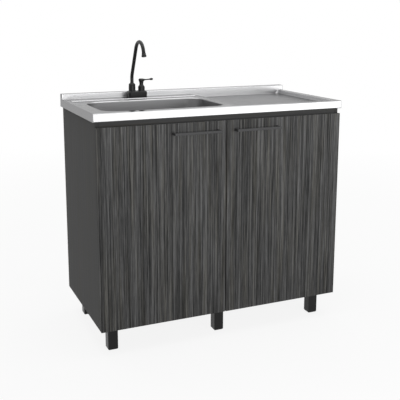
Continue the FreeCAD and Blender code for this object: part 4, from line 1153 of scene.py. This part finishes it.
    def lever(self) -> None:
        """The thin lever that swells into a drop at its end."""
        tilt, reach = math.radians(self.lever_tilt), self.lever_reach
        along = Vector((math.cos(tilt), 0.0, math.sin(tilt)))
        start = self.valve_foot + Vector((0.0, 0.0, mm(self.lever_level)))
        bm = lathe([
            (0.0, 7.5), (3.6, 7.5), (4.2, 10.4), (4.0, 12.2), (3.1, 14.2), (2.6, 17.0), (2.35, 26.0),
            (2.5, 34.0), (2.9, 36.0), (3.8, 38.6), (4.5, 41.6), (4.7, 44.4), (4.2, 47.0), (2.9, 49.0),
            (1.2, reach - 0.1), (0.0, reach),
        ], start, along, self.lever_sides)
        installed("lever_drop_ended", bm, TAP_BLACK, "lever")

    def build(self) -> None:
        """Make the tap's pieces and put them in place."""
        self.base()
        self.collar()
        self.spout()
        self.valve()
        self.lever()
        carried(RUBBER, "tap_gasket", "tap_washer")
        carried(BRASS, "tap_backnut")


# ---- the waste
@dataclass
class BasketWaste:
    """The strainer in the bowl's floor and the trap under it."""

    steel: tuple[str, ...] = ("strainer_body", "strainer_basket")
    rubber: tuple[str, ...] = ("strainer_gasket", "trap_slip_washers")
    plastic: tuple[str, ...] = (
        "strainer_locknut", "strainer_neck_nut", "tailpiece", "trap_bend", "trap_arm", "trap_slip_nuts",
    )

    def build(self) -> None:
        """Finish the strainer and the trap."""
        carried(STAINLESS_TURNED, *self.steel)
        carried(RUBBER, *self.rubber)
        carried(WHITE_PLASTIC, *self.plastic)


# ---- the studio
def aimed(direction: Vector) -> Any:
    """The turn that points a lamp along a direction."""
    return direction.to_track_quat("-Z", "Y").to_euler()


@dataclass(frozen=True)
class Softbox:
    """A soft rectangular lamp. Sizes are in metres and its power in watts."""

    name: str
    place: Triple
    aim: Triple
    size: Pair
    power: float

    def build(self) -> None:
        """Hang the lamp so that it faces its aim."""
        data = bpy.data.lights.new(self.name, "AREA")
        data.shape = "RECTANGLE"
        data.size, data.size_y = self.size
        data.energy = self.power
        lamp = placed(self.name, data)
        lamp.location = self.place
        lamp.rotation_euler = aimed(Vector(self.aim) - Vector(self.place))


@dataclass(frozen=True)
class FrontalKey:
    """The small frontal key that draws the pulls' shadows on the doors. Its angle is in degrees."""

    strength: float = 1.3
    angle: float = 3.0
    direction: Triple = (0.06, 1.0, 0.03)

    def build(self) -> None:
        """Add the key."""
        data = bpy.data.lights.new("key", "SUN")
        data.energy = self.strength
        data.angle = math.radians(self.angle)
        placed("key", data).rotation_euler = aimed(Vector(self.direction))


@dataclass
class Studio:
    """The floor, the light and the camera, in metres and degrees, with the lens in millimetres."""

    eye: Triple = (-1.1178, -2.5446, 1.2137)
    yaw: float = 23.194
    pitch: float = 10.820
    lens: float = 63.957
    sensor: float = 36.0
    shift: Pair = (0.0126, -0.12)
    sight: float = 100.0
    floor_half: float = 30.0
    ambient: float = 0.35
    lamps: tuple[FrontalKey | Softbox, ...] = (
        FrontalKey(),
        Softbox("front_softbox", (1.25, -2.9, 0.95), (0.6, 0.0, 0.95), (2.6, 1.3), 24.0),
        Softbox("overhead_softbox", (0.0, 0.0, 3.4), (0.0, 0.0, 0.0), (3.4, 3.4), 66.0),
    )

    def camera(self) -> None:
        """The camera at the photograph's place."""
        data = bpy.data.cameras.new("camera")
        data.sensor_width = self.sensor
        data.lens = self.lens
        data.shift_x, data.shift_y = self.shift
        data.clip_end = self.sight
        camera = placed("camera", data)
        camera.location = self.eye
        camera.rotation_euler = (math.radians(90.0 - self.pitch), 0.0, -math.radians(self.yaw))
        bpy.context.scene.camera = camera

    def floor(self) -> None:
        """The floor that the unit stands on."""
        bm = bmesh.new()
        bmesh.ops.create_grid(bm, x_segments=1, y_segments=1, size=self.floor_half)
        data = bpy.data.meshes.new("studio_floor")
        bm.to_mesh(data)
        bm.free()
        data.materials.append(FLOOR.material())
        floor = placed("studio_floor", data)

    def world(self) -> None:
        """An even surround: white to the camera and to glossy surfaces, softer as a light."""
        world = bpy.data.worlds.new("surround")
        bpy.context.scene.world = world
        world.use_nodes = True
        tree = world.node_tree
        tree.nodes.clear()
        level = add_node(tree, "MapRange", {"Value": seen_rays(tree), "To Min": self.ambient})
        strength = level.outputs["Result"]
        light = add_node(tree, "Background", {"Color": WHITE, "Strength": strength})
        add_node(tree, "OutputWorld", {"Surface": light.outputs["Background"]})

    def build(self) -> None:
        """Set up the studio."""
        self.camera()
        self.floor()
        self.world()
        for lamp in self.lamps:
            lamp.build()
        bpy.context.scene.view_settings.view_transform = "Standard"


def main() -> None:
    """Build every sub-assembly in order."""
    Studio().build()
    doors = [HungDoor(side) for side in Side]
    for part in (PressedSinkTop(), BaseCabinet(), *doors, SwivelTap(), BasketWaste()):
        LOG.info("building %s", type(part).__name__)
        part.build()


if __name__ == "__main__":
    main()
